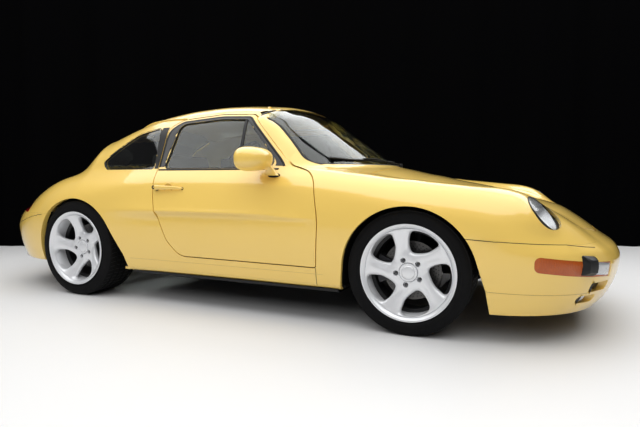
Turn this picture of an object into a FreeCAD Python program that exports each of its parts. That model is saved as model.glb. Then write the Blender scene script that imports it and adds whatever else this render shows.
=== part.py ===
# Rear-engined two-door coupe. Millimetres, +X to the nose, +Y to the left, +Z up,
# origin on the ground under the middle of the car.
import FreeCAD, Part
import math
import os
import re
from types import SimpleNamespace
from FreeCAD import Rotation, Vector

os.makedirs("parts", exist_ok=True)
doc = FreeCAD.newDocument("coupe")
sheet = doc.addObject("Spreadsheet::Sheet", "size")

# Driving dimensions: name, value and what it measures
DRIVING = (
    ("wheelbase", "2272", "front axle to rear axle"),
    ("nose_reach", "985", "front axle to the tip of the front bumper"),
    ("tail_reach", "988", "rear axle to the tip of the rear bumper"),
    ("body_width", "1735", "across the rear wings"),
    ("body_height", "1290", "ground to the top of the roof"),
    ("front_track", "1405", "between the middles of the front tyres"),
    ("rear_track", "1444", "between the middles of the rear tyres"),
    ("front_tyre_radius", "318", "outside radius of a front tyre"),
    ("front_tyre_width", "225", "section width of a front tyre"),
    ("rear_tyre_radius", "320", "outside radius of a rear tyre"),
    ("rear_tyre_width", "265", "section width of a rear tyre"),
    ("rim_radius", "228.6", "bead seat radius of every rim"),
    ("flange_height", "17", "rim flange above the bead seat"),
    ("front_rim_width", "203", "between the bead seats"),
    ("rear_rim_width", "254", "between the bead seats"),
    ("front_rim_offset", "52", "rim middle to its mounting face"),
    ("rear_rim_offset", "40", "rim middle to its mounting face"),
    ("rim_wall", "7", "thickness of the rim barrel"),
    ("spoke_depth", "30", "thickness of the wheel's spoked disc"),
    ("hub_bore", "35.75", "radius of the wheel's centre hole"),
    ("lug_circle", "65", "radius of the lug circle"),
    ("lug_radius", "13", "radius of a lug recess"),
    ("disc_radius", "152", "outside radius of a brake disc"),
    ("disc_thickness", "28", "thickness of a brake disc"),
    ("arch_radius", "347", "radius of the wheel arch openings"),
    ("arch_drop", "12", "arch centre below the wheel centre"),
    ("panel", "22", "depth of wings, lids and roof"),
    ("door_depth", "60", "depth of a door below its window"),
    ("frame_depth", "30", "depth of pillars and window frames"),
    ("bumper_depth", "34", "depth of the bumper covers"),
    ("lamp_radius", "100", "radius of a headlamp's lens"),
    ("shut_gap", "6", "gap round doors and lids"),
    ("seam", "0.5", "gap between fixed panels"),
    ("glass", "5", "thickness of the glass"),
    ("glass_inset", "5", "glass below the skin round it"),
    ("seat_gap", "0.3", "running clearance of curved pieces that touch"),
    ("sheet_metal", "16", "depth of floor and bulkhead panels"),
    ("pivot_low_y", "650", "steering pivot's lower ball from the middle of the car"),
    ("pivot_low_z", "192", "steering pivot's lower ball above the ground"),
    ("pivot_high_y", "533", "strut's top mount from the middle of the car"),
    ("pivot_high_z", "716", "strut's top mount above the ground"),
    ("liner_radius", "375", "inside radius of the front wheelhouse"),
    ("rear_liner_radius", "352", "inside radius of the rear wheelhouse"),
    ("strut_radius", "22", "radius of the front struts"),
    ("hub_radius", "50", "radius of the hub carriers"),
    ("arm_depth", "26", "depth of the suspension arms"),
    ("caliper_width", "84", "width of a brake caliper"),
    ("steering_wheel_radius", "185", "middle of the steering wheel's rim"),
    ("steering_rim_radius", "15", "section radius of the steering wheel's rim"),
    ("column_tilt", "24", "slope of the steering column in degrees"),
    ("pipe_radius", "30", "radius of the tail pipes"),
    ("seat_width", "480", "width of a front seat"),
    ("mirror_reach", "118", "half the width of a mirror housing"),
    ("overrun", "40", "how far a cutting tool passes the piece"),
)
DERIVED = (
    ("body_length", "=nose_reach + wheelbase + tail_reach", "over both bumpers"),
    ("front_axle", "=body_length / 2 - nose_reach", "X of the front axle"),
    ("rear_axle", "=front_axle - wheelbase", "X of the rear axle"),
    ("half_width", "=body_width / 2", "middle of the car to its side"),
)
for row, (alias, value, note) in enumerate(DRIVING + DERIVED, start=1):
    sheet.set(f"A{row}", alias)
    sheet.set(f"B{row}", value)
    sheet.set(f"C{row}", note)
    sheet.setAlias(f"B{row}", alias)
doc.recompute()


size = SimpleNamespace(**{alias: float(sheet.get(alias)) for alias, _, _ in DRIVING + DERIVED})
length = size.body_length
front_axle = size.front_axle
rear_axle = size.rear_axle
half_width = size.half_width


def along(station):
    """X of a station: -1 nose tip, 0 front axle, 1 rear axle, 2 tail tip."""
    if station < 0:
        return front_axle - station * size.nose_reach
    if station > 1:
        return rear_axle - (station - 1) * size.tail_reach
    return front_axle - station * size.wheelbase


def station_of(x):
    if x > front_axle:
        return (front_axle - x) / size.nose_reach
    if x < rear_axle:
        return 1 + (rear_axle - x) / size.tail_reach
    return (front_axle - x) / size.wheelbase


def up(share):
    return share * size.body_height


def out(share):
    return share * half_width


# Design lines. Each table holds pairs of station and share, or of height share and share.
HOOD_LINE_SHARES = ((-1, .36), (-.86, .425), (-.70, .488), (-.55, .524), (-.3, .575), (0, .622),
                    (.132, .668), (.3, .70), (.6, .70), (1, .69), (1.3, .66), (1.6, .57), (2, .40))
WING_LINE_SHARES = ((-1, .30), (-.86, .42), (-.70, .505), (-.55, .553), (-.3, .583), (0, .607),
                    (.132, .627), (.3, .653), (.45, .660), (.7, .661), (.88, .655), (1, .642),
                    (1.15, .620), (1.3, .594), (1.55, .540), (1.8, .46), (2, .40))
WING_CREST_SHARES = ((-1, .60), (-.55, .735), (0, .775), (.3, .82), (.6, .84), (1, .80), (1.3, .76), (2, .60))
PLAN_SHARES = ((-1, .968), (-.3, .975), (0, .975), (.2, .966), (.45, .962), (.7, .968), (.85, .985),
               (1, 1.0), (1.15, 1.0), (1.4, .99), (2, .98))
SIDE_SHARES = ((.10, .94), (.16, .957), (.24, .980), (.33, .995), (.41, 1.0), (.48, .995), (.56, .975),
               (.62, .945), (.70, .90), (1.0, .80))
ROOF_LINE_SHARES = ((.20, .955), (.374, .972), (.44, .986), (.506, .996), (.572, 1.0), (.66, .994), (.748, .977),
                    (.814, .955), (.88, .921), (.968, .868), (1.10, .797), (1.21, .728), (1.33, .679),
                    (1.535, .610), (1.737, .543), (1.82, .508), (2, .40))
CABIN_BELT_SHARES = ((0, .70), (.2, .80), (.312, .835), (.45, .857), (.7, .857), (.88, .838), (1, .80),
                     (1.21, .70), (1.5, .60), (2, .50))
NOSE_RECESS_SHARES = ((.06, .14), (.11, .10), (.155, .055), (.23, .012), (.295, 0), (.34, .02), (.372, .075),
                      (.415, .135), (.465, .21), (.505, .275), (.555, .37), (.62, .52), (1, .7))
TAIL_RECESS_SHARES = ((.08, .20), (.14, .11), (.20, .05), (.28, .01), (.34, 0), (.39, .012), (.42, .035),
                      (.445, .11), (.47, .135), (.52, .15), (.55, .18), (.62, .26), (1, .55))
FLOOR_SHARES = ((-1, .10), (-.8, .10), (0, .105), (.12, .150), (.2, .152), (.8, .152), (1, .152),
                (1.5, .150), (2, .150))


def line(table, at):
    """Smooth curve through a table's points that keeps rises and falls where they are."""
    if at <= table[0][0]:
        return table[0][1]
    if at >= table[-1][0]:
        return table[-1][1]
    index = 0
    while table[index + 1][0] < at:
        index += 1
    (x0, y0), (x1, y1) = table[index], table[index + 1]
    slope = (y1 - y0) / (x1 - x0)
    before = slope if index == 0 else (y0 - table[index - 1][1]) / (x0 - table[index - 1][0])
    after = slope if index + 2 == len(table) else (table[index + 2][1] - y1) / (table[index + 2][0] - x1)
    m0 = 0 if before * slope <= 0 else 2 * before * slope / (before + slope)
    m1 = 0 if after * slope <= 0 else 2 * after * slope / (after + slope)
    step = x1 - x0
    s = (at - x0) / step
    return ((1 + 2 * s) * (1 - s) ** 2 * y0 + s * (1 - s) ** 2 * step * m0
            + s * s * (3 - 2 * s) * y1 + s * s * (s - 1) * step * m1)


def meet(a, b, radius):
    """Intersection of two depths with a round edge."""
    u = max(a + radius, 0)
    v = max(b + radius, 0)
    return math.hypot(u, v) + min(max(a, b), -radius)


def join(a, b, radius):
    """Union of two depths with a round valley."""
    u = max(radius - a, 0)
    v = max(radius - b, 0)
    return max(radius, min(a, b)) - math.hypot(u, v)


# Where the rounding of nose and tail starts, its power, and the edge radii, as shares
nose_start = front_axle + 0.254 * size.nose_reach
tail_start = rear_axle - 0.18 * size.tail_reach
NOSE_POWER_SHARE = 2.5
TAIL_POWER_SHARE = 2.8
EDGE_SHARES = ((-1, .05), (-.6, .085), (0, .085), (.3, .075), (.7, .075), (1, .13), (1.4, .15), (2, .10))


def side_depth(x, y, z):
    """Depth of a point against the wall that runs round the car in plan."""
    station = station_of(x)
    height = z / size.body_height
    reach = out(line(PLAN_SHARES, station) * line(SIDE_SHARES, height))
    if x > nose_start:
        axis = (front_axle + size.nose_reach - nose_start) - line(NOSE_RECESS_SHARES, height) * size.nose_reach
        power = NOSE_POWER_SHARE
        ahead = (x - nose_start) / axis
    elif x < tail_start:
        axis = (tail_start - rear_axle + size.tail_reach) - line(TAIL_RECESS_SHARES, height) * size.tail_reach
        power = TAIL_POWER_SHARE
        ahead = (tail_start - x) / axis
    else:
        return abs(y) - reach
    return ((ahead ** power + (abs(y) / reach) ** power) ** (1 / power) - 1) * reach


HOOD_CROWN_SHARE = .050
WING_ROUND_SHARE = .36
DECK_BLEND_SHARE = .04


def deck_height(x, y):
    """Top of the lower body: hood between two wing crests."""
    station = station_of(x)
    crest = out(line(WING_CREST_SHARES, station))
    hood = up(line(HOOD_LINE_SHARES, station)) - up(HOOD_CROWN_SHARE) * (y / crest) ** 2
    wing = up(line(WING_LINE_SHARES, station)) - (abs(y) - crest) ** 2 / (2 * out(WING_ROUND_SHARE))
    blend = up(DECK_BLEND_SHARE)
    return max(hood, wing) + max(blend - abs(hood - wing), 0) ** 2 / (4 * blend)


# Windscreen: stations of its foot and head at the middle, and how far its ends are swept back
SCREEN_FOOT_SHARES = (.132, .668, .36)
SCREEN_HEAD_SHARES = (.374, .965, .20)
ROOF_TOP_SHARE = .572
SCREEN_NORMAL_SHARES = (.6, .8)
CABIN_LEAN_SHARE = .44


def screen_x(y, z):
    foot_station, foot_height, foot_sweep = SCREEN_FOOT_SHARES
    head_station, head_height, head_sweep = SCREEN_HEAD_SHARES
    share = (z - up(foot_height)) / (up(head_height) - up(foot_height))
    middle = along(foot_station) + share * (along(head_station) - along(foot_station))
    sweep = foot_sweep + share * (head_sweep - foot_sweep)
    return middle - sweep * half_width * (y / out(.76)) ** 2


def cabin_depth(x, y, z, screened):
    station = station_of(x)
    belt = up(.655)
    side = abs(y) - out(line(CABIN_BELT_SHARES, station)) + CABIN_LEAN_SHARE * (z - belt)
    crown = up(.062) * (y / out(.70)) ** 2
    roof = line(ROOF_LINE_SHARES, station if screened else max(station, ROOF_TOP_SHARE))
    top = z - up(roof) + crown
    screen = (x - screen_x(y, z)) * .62
    shell = meet(side * .92, top, up(.085))
    if screened:
        shell = meet(shell, screen, up(.05))
    return max(shell, up(.45) - z)


# Headlamps: centre of the lens, its axis, the wing's reach round it as shares of its radius, and the edge
LAMP_CENTRE_SHARES = (-.623, .755, .489)
LAMP_AXIS_SHARES = (.765, .18, .62)
LAMP_TUBE_SHARES = (1.20, 3.3)
LAMP_EDGE_SHARE = .022
lamp_centre = Vector(along(LAMP_CENTRE_SHARES[0]), out(LAMP_CENTRE_SHARES[1]), up(LAMP_CENTRE_SHARES[2]))
lamp_axis = Vector(*LAMP_AXIS_SHARES).normalize()


def lamp_depth(x, y, z):
    """Depth against the wing's tube, which runs forwards to the domed face of a headlamp."""
    offset = Vector(x, abs(y), z) - lamp_centre
    ahead = offset.dot(lamp_axis)
    radius = (offset - Vector(ahead / lamp_axis.x, 0, 0)).Length
    rim, dome = (share * size.lamp_radius for share in LAMP_TUBE_SHARES)
    return meet((radius - rim) * lamp_axis.x, ahead + radius * radius / (2 * dome), up(LAMP_EDGE_SHARE))


def form(x, y, z, screened=True):
    """Depth of a point against the painted skin of the whole car, negative inside.

    Without the screen, the side windows' surface runs on forwards past the pillar."""
    station = station_of(x)
    deck = z - deck_height(x, y)
    under = up(line(FLOOR_SHARES, station)) - z
    lower = meet(side_depth(x, y, z), deck, up(line(EDGE_SHARES, station)))
    if x > front_axle:
        lower = join(lower, lamp_depth(x, y, z), up(.03))
    lower = meet(lower, under, up(.025))
    return join(lower, cabin_depth(x, y, z, screened), up(.02 if station < .9 else .02 + .08 * (station - .9)))


def skin_point(start, direction, reach, screened=True):
    """Where a ray from inside leaves the form."""
    low, high = 0.0, reach
    for _ in range(26):
        middle = (low + high) / 2
        probe = start + direction * middle
        if form(probe.x, probe.y, probe.z, screened) < 0:
            low = middle
        else:
            high = middle
    return start + direction * high


def even(depth):
    """A depth that is the same everywhere."""
    return lambda point: depth


def spread(first, last, count):
    return [first + (last - first) * index / (count - 1) for index in range(count)]


def surface(points):
    patch = Part.BSplineSurface()
    patch.interpolate(points)
    return patch


def slab(outer_points, inner_points):
    """Solid between two patches that were sampled alike."""
    outer = surface(outer_points)
    inner = surface(inner_points)
    u0, u1, v0, v1 = outer.bounds()
    s0, s1, t0, t1 = inner.bounds()
    rims = ((outer.uIso(u0), inner.uIso(s0)), (outer.uIso(u1), inner.uIso(s1)),
            (outer.vIso(v0), inner.vIso(t0)), (outer.vIso(v1), inner.vIso(t1)))
    faces = [outer.toShape(), inner.toShape()]
    faces += [Part.makeRuledSurface(a.toShape(), b.toShape()) for a, b in rims]
    shell = Part.makeShell(faces)
    shell.sewShape()
    solid = Part.makeSolid(shell)
    if solid.Volume < 0:
        solid.reverse()
    return solid


def shifted(points, starts, depth):
    """Points moved back along their rays by a depth, which may vary from point to point."""
    moved = []
    for row, origins in zip(points, starts):
        moved.append([point + (origin - point).normalize() * depth(point) for point, origin in zip(row, origins)])
    return moved


def sampled(starts, directions, reach, inset, depth, screened=True):
    """Slab under the form's skin: outer face inset below it, inner face a depth further in."""
    skin = [[skin_point(start, direction, reach, screened) for start, direction in zip(*pair)]
            for pair in zip(starts, directions)]
    outer = shifted(skin, starts, lambda point: inset) if inset else skin
    inner = shifted(skin, starts, lambda point: inset + depth(point))
    return slab(outer, inner)


def from_above(x0, x1, y0, y1, count_x, count_y, inset, depth):
    """Slab seen from straight above, for lids, roof and rear window."""
    starts = [[Vector(x, y, up(.3)) for y in spread(y0, y1, count_y)] for x in spread(x0, x1, count_x)]
    directions = [[Vector(0, 0, 1)] * count_y for _ in range(count_x)]
    return sampled(starts, directions, up(1), inset, even(depth))


def from_side(x0, x1, z0, z1, count_x, count_z, inset, depth):
    """Slab seen from the left, for doors and side glass."""
    starts = [[Vector(x, 0, z) for z in spread(z0, z1, count_z)] for x in spread(x0, x1, count_x)]
    directions = [[Vector(0, 1, 0)] * count_z for _ in range(count_x)]
    return sampled(starts, directions, out(1.5), inset, depth, screened=False)


def from_front(z0, z1, y0, y1, count_z, count_y, inset, depth):
    """Slab seen square to the windscreen."""
    square = Vector(SCREEN_NORMAL_SHARES[0], 0, SCREEN_NORMAL_SHARES[1])
    starts = [[Vector(screen_x(0, z), y, z) - square * up(.4) for y in spread(y0, y1, count_y)]
              for z in spread(z0, z1, count_z)]
    directions = [[square] * count_y for _ in range(count_z)]
    return sampled(starts, directions, up(1), inset, depth)


def round_section(x0, x1, angle0, angle1, count_x, count_angle, inset, depth):
    """Slab sampled by fans of rays in upright cross planes, for wings and side panels."""
    starts = [[Vector(x, out(.25), up(.25))] * count_angle for x in spread(x0, x1, count_x)]
    fan = [Vector(0, math.cos(math.radians(a)), math.sin(math.radians(a)))
           for a in spread(angle0, angle1, count_angle)]
    return sampled(starts, [fan] * count_x, out(1.5), inset, even(depth))


def round_plan(centre_x, angle0, angle1, z0, z1, count_angle, count_z, inset, depth):
    """Slab sampled by level rays that fan round a nose or tail."""
    starts = [[Vector(centre_x, 0, z) for z in spread(z0, z1, count_z)] for _ in range(count_angle)]
    directions = [[Vector(math.cos(math.radians(a)), math.sin(math.radians(a)), 0)] * count_z
                  for a in spread(angle0, angle1, count_angle)]
    return sampled(starts, directions, length, inset, even(depth))


# Corners flatter than this cosine stay sharp
STRAIGHT_SHARE = 0.01


def rounded(points, radii):
    """Closed wire through corner points, each rounded with a tangent arc unless it lies in a straight run."""
    count = len(points)
    corners = []
    for index, corner in enumerate(points):
        back = points[index - 1] - corner
        ahead = points[(index + 1) % count] - corner
        half = back.getAngle(ahead) / 2
        if math.cos(half) < STRAIGHT_SHARE:
            corners.append((corner, None, corner))
            continue
        reach = min(radii[index] / math.tan(half), 0.45 * back.Length, 0.45 * ahead.Length)
        radius = reach * math.tan(half)
        to_last = back.normalize()
        to_next = ahead.normalize()
        middle = (to_last + to_next).normalize()
        centre = corner + middle * (radius / math.sin(half))
        corners.append((corner + to_last * reach, centre - middle * radius, corner + to_next * reach))
    edges = []
    for index, (first, middle, last) in enumerate(corners):
        if middle is not None:
            edges.append(Part.Arc(first, middle, last).toShape())
        edges.append(Part.LineSegment(last, corners[(index + 1) % count][0]).toShape())
    return Part.Wire(edges)


# Everything below adds nodes: a node is one object of the document with its own label
nodes = {}


def keep(name, thing):
    """Makes an object of the document the node of this name."""
    thing.Label = name
    nodes[name] = thing
    return thing


def piece(name, shape, at=FreeCAD.Placement()):
    """Node whose free-form shape is worked out here, in place or in its own frame."""
    thing = doc.addObject("Part::Feature", name)
    thing.Shape = shape
    thing.Placement = at
    return keep(name, thing)


def mirrored(shape):
    return shape.mirror(Vector(), Vector(0, 1, 0))


def pair(name, left):
    """Left and right nodes from a left-hand shape."""
    piece(name + "_left", left)
    piece(name + "_right", mirrored(left))


def both(left):
    """One shape with a left-hand solid and its mirror image."""
    return Part.makeCompound([left, mirrored(left)])


def seen_from_side(points, radii, y0=0.0, y1=None):
    """Prism across the car from an outline in X and Z."""
    wire = rounded([Vector(x, y0, z) for x, z in points], radii)
    return Part.Face(wire).extrude(Vector(0, (out(1.4) if y1 is None else y1) - y0, 0))


def seen_from_above(points, radii, z0=0.0, z1=None):
    """Upright prism from an outline in X and Y."""
    wire = rounded([Vector(x, y, z0) for x, y in points], radii)
    return Part.Face(wire).extrude(Vector(0, 0, (up(1.2) if z1 is None else z1) - z0))


def grown(points, radii, amount):
    """Outline points and radii moved outwards by an amount."""
    corners = [Vector(a, b, 0) for a, b in points]
    area = sum(p.x * q.y - q.x * p.y for p, q in zip(corners, corners[1:] + corners[:1]))
    turn = 1 if area > 0 else -1
    moved = []
    for index, corner in enumerate(corners):
        before = (corner - corners[index - 1]).normalize()
        after = (corners[(index + 1) % len(corners)] - corner).normalize()
        n0 = Vector(before.y, -before.x, 0) * turn
        n1 = Vector(after.y, -after.x, 0) * turn
        middle = n0 + n1
        moved.append(corner + middle * (2 * amount / middle.dot(middle)))
    return [(p.x, p.y) for p in moved], [max(radius + amount, size.seam) for radius in radii]


def placed(station_shares):
    """Outline points from stations and height shares."""
    return [(along(station), up(share)) for station, share in station_shares]


# Door outline and windows, seen from the side: station and height shares, then corner radii
DOOR_SHARES = ((.219, .243), (.2125, .44), (.232, .629), (.305, .666), (.449, .912), (.55, .921), (.685, .903),
               (.722, .862), (.7175, .656), (.7055, .522), (.688, .433), (.660, .316), (.620, .247))
DOOR_RADII_SHARES = (.008, .35, .10, .04, .04, .3, .06, .05, .3, .5, .5, .12, .09)
DOOR_WINDOW_SHARES = ((.330, .657), (.462, .889), (.55, .897), (.683, .881), (.700, .657))
DOOR_WINDOW_RADII_SHARES = (.03, .04, .4, .04, .02)
QUARTER_WINDOW_SHARES = ((.734, .655), (.752, .869), (.84, .838), (.952, .70), (.93, .655))
QUARTER_WINDOW_RADII_SHARES = (.015, .03, .12, .015, .04)


def outline_of(shares, radii_shares):
    return placed(shares), [up(share) for share in radii_shares]


door_points, door_radii = outline_of(DOOR_SHARES, DOOR_RADII_SHARES)
window_points, window_radii = outline_of(DOOR_WINDOW_SHARES, DOOR_WINDOW_RADII_SHARES)
quarter_points, quarter_radii = outline_of(QUARTER_WINDOW_SHARES, QUARTER_WINDOW_RADII_SHARES)
opening_points, opening_radii = grown(door_points, door_radii, size.shut_gap)

front_arch_centre = Vector(front_axle, 0, size.front_tyre_radius - size.arch_drop)
rear_arch_centre = Vector(rear_axle, 0, size.rear_tyre_radius - size.arch_drop)


# Lower edges of the arches as shares of their radius, forwards and down from the centre, front to rear
FRONT_ARCH_SHARES = ((1.16, -1), (1.133, -.455), (1.081, -.121), (-1.035, -.265), (-1.05, -1))
REAR_ARCH_SHARES = ((1.36, -1), (1.29, -.35), (1.185, -.02), (-.985, -.17), (-.96, -.40), (-.92, -1))


def arch_tool(centre, shares):
    """Half cylinder across the car that runs on down to its feet along straight lines."""
    radius = size.arch_radius
    feet = [Vector(x, 0, z) * radius for x, z in shares]
    ahead = [foot for foot in feet if foot.x > 0]
    behind = [foot for foot in feet if foot.x < 0]
    starts = []
    for foot, turn in ((ahead[-1], 1), (behind[0], -1)):
        angle = math.atan2(foot.z, foot.x) + turn * math.acos(min(radius / foot.Length, 1))
        starts.append(Vector(math.cos(angle), 0, math.sin(angle)) * radius)
    arc = Part.Arc(starts[0], Vector(0, 0, radius), starts[1]).toShape()
    edges = Part.makePolygon([starts[1]] + behind + ahead + [starts[0]]).Edges
    tool = Part.Face(Part.Wire([arc] + edges)).extrude(Vector(0, half_width + size.overrun, 0))
    tool.translate(centre)
    return tool


# Lid outlines seen from above: station and width shares
FRONT_LID_SHARES = ((-.868, 0), (-.868, .22), (-.80, .42), (-.50, .585), (.05, .735), (.122, .745), (.112, .30),
                    (.110, 0))
REAR_LID_SHARES = ((1.325, 0), (1.33, .30), (1.375, .52), (1.55, .545), (1.815, .50), (1.845, 0))


def lid_outline(shares, corner):
    """Symmetrical outline from its left half, with one corner radius throughout."""
    left = [(along(station), out(share)) for station, share in shares]
    right = [(x, -y) for x, y in reversed(left) if y]
    points = left[1:-1] + [left[-1]] + right + [left[0]]
    return points, [corner] * len(points)


front_lid_points, front_lid_radii = lid_outline(FRONT_LID_SHARES, up(.05))
rear_lid_points, rear_lid_radii = lid_outline(REAR_LID_SHARES, up(.05))
front_lid_hole = seen_from_above(*grown(front_lid_points, front_lid_radii, size.shut_gap), z0=up(.35))
rear_lid_hole = seen_from_above(*grown(rear_lid_points, rear_lid_radii, size.shut_gap), z0=up(.35))

# Seams between fixed panels
SEAM_SHARES = {"cowl": .105, "cowl_side": .70, "pillar": .315, "door_front": .2165,
               "tail": 1.53, "lamp_top": .507, "bumper_top": .424}
pillar_seam = along(SEAM_SHARES["pillar"])
door_front = along(SEAM_SHARES["door_front"])
cowl_front = along(SEAM_SHARES["cowl"])
cowl_side = out(SEAM_SHARES["cowl_side"])
tail_seam = along(SEAM_SHARES["tail"])
lamp_top = up(SEAM_SHARES["lamp_top"])
bumper_top = up(SEAM_SHARES["bumper_top"])
wide = half_width + size.overrun
front_x = length / 2 + size.overrun
rear_x = -front_x
top_z = size.body_height + size.overrun
low_z = -size.overrun


def slice_box(x0, x1, y0, y1, z0, z1):
    return Part.makeBox(x1 - x0, y1 - y0, z1 - z0, Vector(x0, y0, z0))


def across(points, radii, x0, x1):
    """Prism along the car from an outline in Y and Z."""
    wire = rounded([Vector(x0, y, z) for y, z in points], radii)
    return Part.Face(wire).extrude(Vector(x1 - x0, 0, 0))


def biggest(shape):
    """The largest solid of a cut, without slivers and the right way out."""
    solid = max(shape.Solids, key=lambda part: abs(part.Volume))
    return solid.reversed() if solid.Volume < 0 else solid


door_opening = seen_from_side(opening_points, opening_radii, y0=out(.3))
quarter_opening = seen_from_side(quarter_points, quarter_radii, y0=out(.3))

# Roof seam along the drip rails, seen from above: station and width shares
ROOF_SEAM_SHARES = ((.28, 0), (.28, .655), (.66, .655), (.80, .60), (.903, .50), (.903, 0))
roof_points, roof_radii = lid_outline(ROOF_SEAM_SHARES, up(.02))

# Windscreen seen from the front: half-width and height shares of its corners
SCREEN_CORNER_SHARES = ((.745, .675), (.635, .930), (.30, .958))
SCREEN_RADII_SHARES = (.03, .06, .4)


def screen_outline(grow):
    right = [(-out(y), up(z)) for y, z in SCREEN_CORNER_SHARES]
    left = [(-y, z) for y, z in reversed(right)]
    radii = [up(share) for share in SCREEN_RADII_SHARES]
    return grown(right + left, radii + radii[::-1], grow)


screen_opening = across(*screen_outline(size.seat_gap), along(.48), along(.06))

# Rear window seen from above: station and width shares
REAR_GLASS_SHARES = ((.893, 0), (.898, .30), (.915, .475), (1.19, .575), (1.255, .48), (1.285, .25), (1.29, 0))
rear_glass_points, rear_glass_radii = lid_outline(REAR_GLASS_SHARES, up(.06))
rear_glass_opening = seen_from_above(*grown(rear_glass_points, rear_glass_radii, size.seat_gap), z0=up(.5))

# Front bumper's top edge seen from the side, and the chin between the lamps: station or width, and height
BUMPER_EDGE_SHARES = ((0, .396), (-.30, .392), (-.79, .3715), (-1.1, .3715))
CHIN_SHARES = (.50, .43)


def bumper_zone(lift):
    """Everything below the front bumper's upper edge, raised by a gap where it cuts a neighbour."""
    edge = [(along(station), up(share) + lift) for station, share in BUMPER_EDGE_SHARES]
    points = [Vector(x, -wide, z) for x, z in edge]
    points += [Vector(edge[-1][0], -wide, low_z), Vector(edge[0][0], -wide, low_z)]
    below = Part.Face(Part.makePolygon(points + points[:1])).extrude(Vector(0, 2 * wide, 0))
    middle = out(CHIN_SHARES[0])
    chin = slice_box(along(-.5), front_x, -middle, middle, low_z, up(CHIN_SHARES[1]))
    return below.fuse(chin)


def lamp_tool(radius):
    """Cylinder square to a headlamp's lens."""
    reach = 2 * size.lamp_radius
    return Part.makeCylinder(radius, 2 * reach, lamp_centre - lamp_axis * reach, lamp_axis)


def wing_slab(depth):
    return round_section(along(-.94), along(.34), -16, 78, 60, 44, 0, depth)


def make_front_wings():
    """Wings from the bumper to the doors, cut for arch, lid, door and lamp."""
    wing = wing_slab(size.panel).common(slice_box(pillar_seam, along(-.93), out(.2), wide, up(.155), up(.8)))
    for tool in (arch_tool(front_arch_centre, FRONT_ARCH_SHARES), front_lid_hole, door_opening, screen_opening,
                 bumper_zone(size.seam), lamp_tool(size.lamp_radius),
                 slice_box(rear_x, cowl_front, 0, cowl_side + size.seam, low_z, top_z),
                 slice_box(rear_x, door_front, 0, wide, low_z, up(.5))):
        wing = wing.cut(tool)
    pair("front_wing", biggest(wing))
    lens = wing_slab(size.glass).common(lamp_tool(size.lamp_radius - size.seam))
    piece("headlamps", both(biggest(lens)))


FLOOR_WIDTH_SHARE = .83
FLOOR_LEVEL_SHARE = .150


def upright(points):
    """Prism across the left half of the car from corners in X and Z."""
    corners = [Vector(x, 0, z) for x, z in points]
    return Part.Face(Part.makePolygon(corners + corners[:1])).extrude(Vector(0, wide, 0))


def make_side_frames():
    """Sill, pillars, roof rail and rear wing as one pressing on each side."""
    frame = round_section(along(.19), along(1.90), -12, 110, 50, 40, 0, size.frame_depth)
    mid = up(.5)
    pillar_x = pillar_seam - size.seam
    front_corners = ((door_front - size.seam, low_z), (front_x, low_z), (front_x, top_z), (pillar_x, top_z),
                     (pillar_x, mid + size.seam), (door_front - size.seam, mid + size.seam))
    arch_x = rear_axle - size.arch_radius / 2
    tail_corners = ((rear_x, low_z), (rear_axle, low_z), (rear_axle, up(.2)), (arch_x, up(.2)),
                    (arch_x, bumper_top + size.seam), (tail_seam, bumper_top + size.seam), (tail_seam, lamp_top),
                    (rear_x, lamp_top))
    frame = frame.cut([seen_from_above(*grown(roof_points, roof_radii, size.seam), z0=up(.6)),
                       slice_box(rear_x, front_x, -wide, size.seam, low_z, top_z),
                       door_opening, quarter_opening, arch_tool(rear_arch_centre, REAR_ARCH_SHARES), rear_lid_hole,
                       screen_opening,
                       rear_glass_opening, upright(front_corners), upright(tail_corners)])
    sill = slice_box(along(.84), along(.225), out(FLOOR_WIDTH_SHARE) + size.seat_gap, out(.885), up(FLOOR_LEVEL_SHARE),
                     up(FLOOR_LEVEL_SHARE) + size.sheet_metal)
    pair("side_frame", biggest(biggest(frame).fuse(sill)))


def make_roof():
    roof = from_above(along(.93), along(.30), -out(.68), out(.68), 26, 26, 0, size.panel)
    roof = roof.common(seen_from_above(roof_points, roof_radii, z0=up(.6)))
    roof = roof.cut([screen_opening, rear_glass_opening, door_opening, mirrored(door_opening)])
    piece("roof_panel", biggest(roof))


def make_cowl():
    cowl = from_above(along(.36), along(.08), -out(.72), out(.72), 16, 30, 0, size.panel)
    cowl = cowl.common(slice_box(pillar_seam, cowl_front, -cowl_side, cowl_side, up(.4), top_z))
    cowl = cowl.cut(front_lid_hole).cut(screen_opening)
    piece("cowl_panel", biggest(cowl))


LID_GRILLE_SHARES = ((1.40, 0), (1.40, .40), (1.60, .40), (1.60, 0))


def make_lids():
    front = from_above(along(-.92), along(.16), -out(.80), out(.80), 30, 30, 0, size.panel)
    piece("front_lid", biggest(front.common(seen_from_above(front_lid_points, front_lid_radii, z0=up(.3)))))
    rear = from_above(along(1.30), along(1.87), -out(.60), out(.60), 24, 24, 0, size.panel)
    lid = biggest(rear.common(seen_from_above(rear_lid_points, rear_lid_radii, z0=up(.3))))
    points, radii = lid_outline(LID_GRILLE_SHARES, up(.03))
    piece("engine_lid", biggest(lid.cut(seen_from_above(*grown(points, radii, size.seat_gap), z0=up(.3)))))
    piece("lid_grille", biggest(rear.common(seen_from_above(points, radii, z0=up(.3)))))


# Corners of the lamp strip seen from the side, and the air slots seen from the front
LAMP_STRIP_SHARES = ((-.590, .281), (-.590, .337), (-.935, .302), (-.935, .246))
AIR_SLOT_SHARES = ((.52, .683, .196, .231), (.60, .727, .156, .184))
INTAKE_SHARES = (.38, .165, .235)


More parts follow.
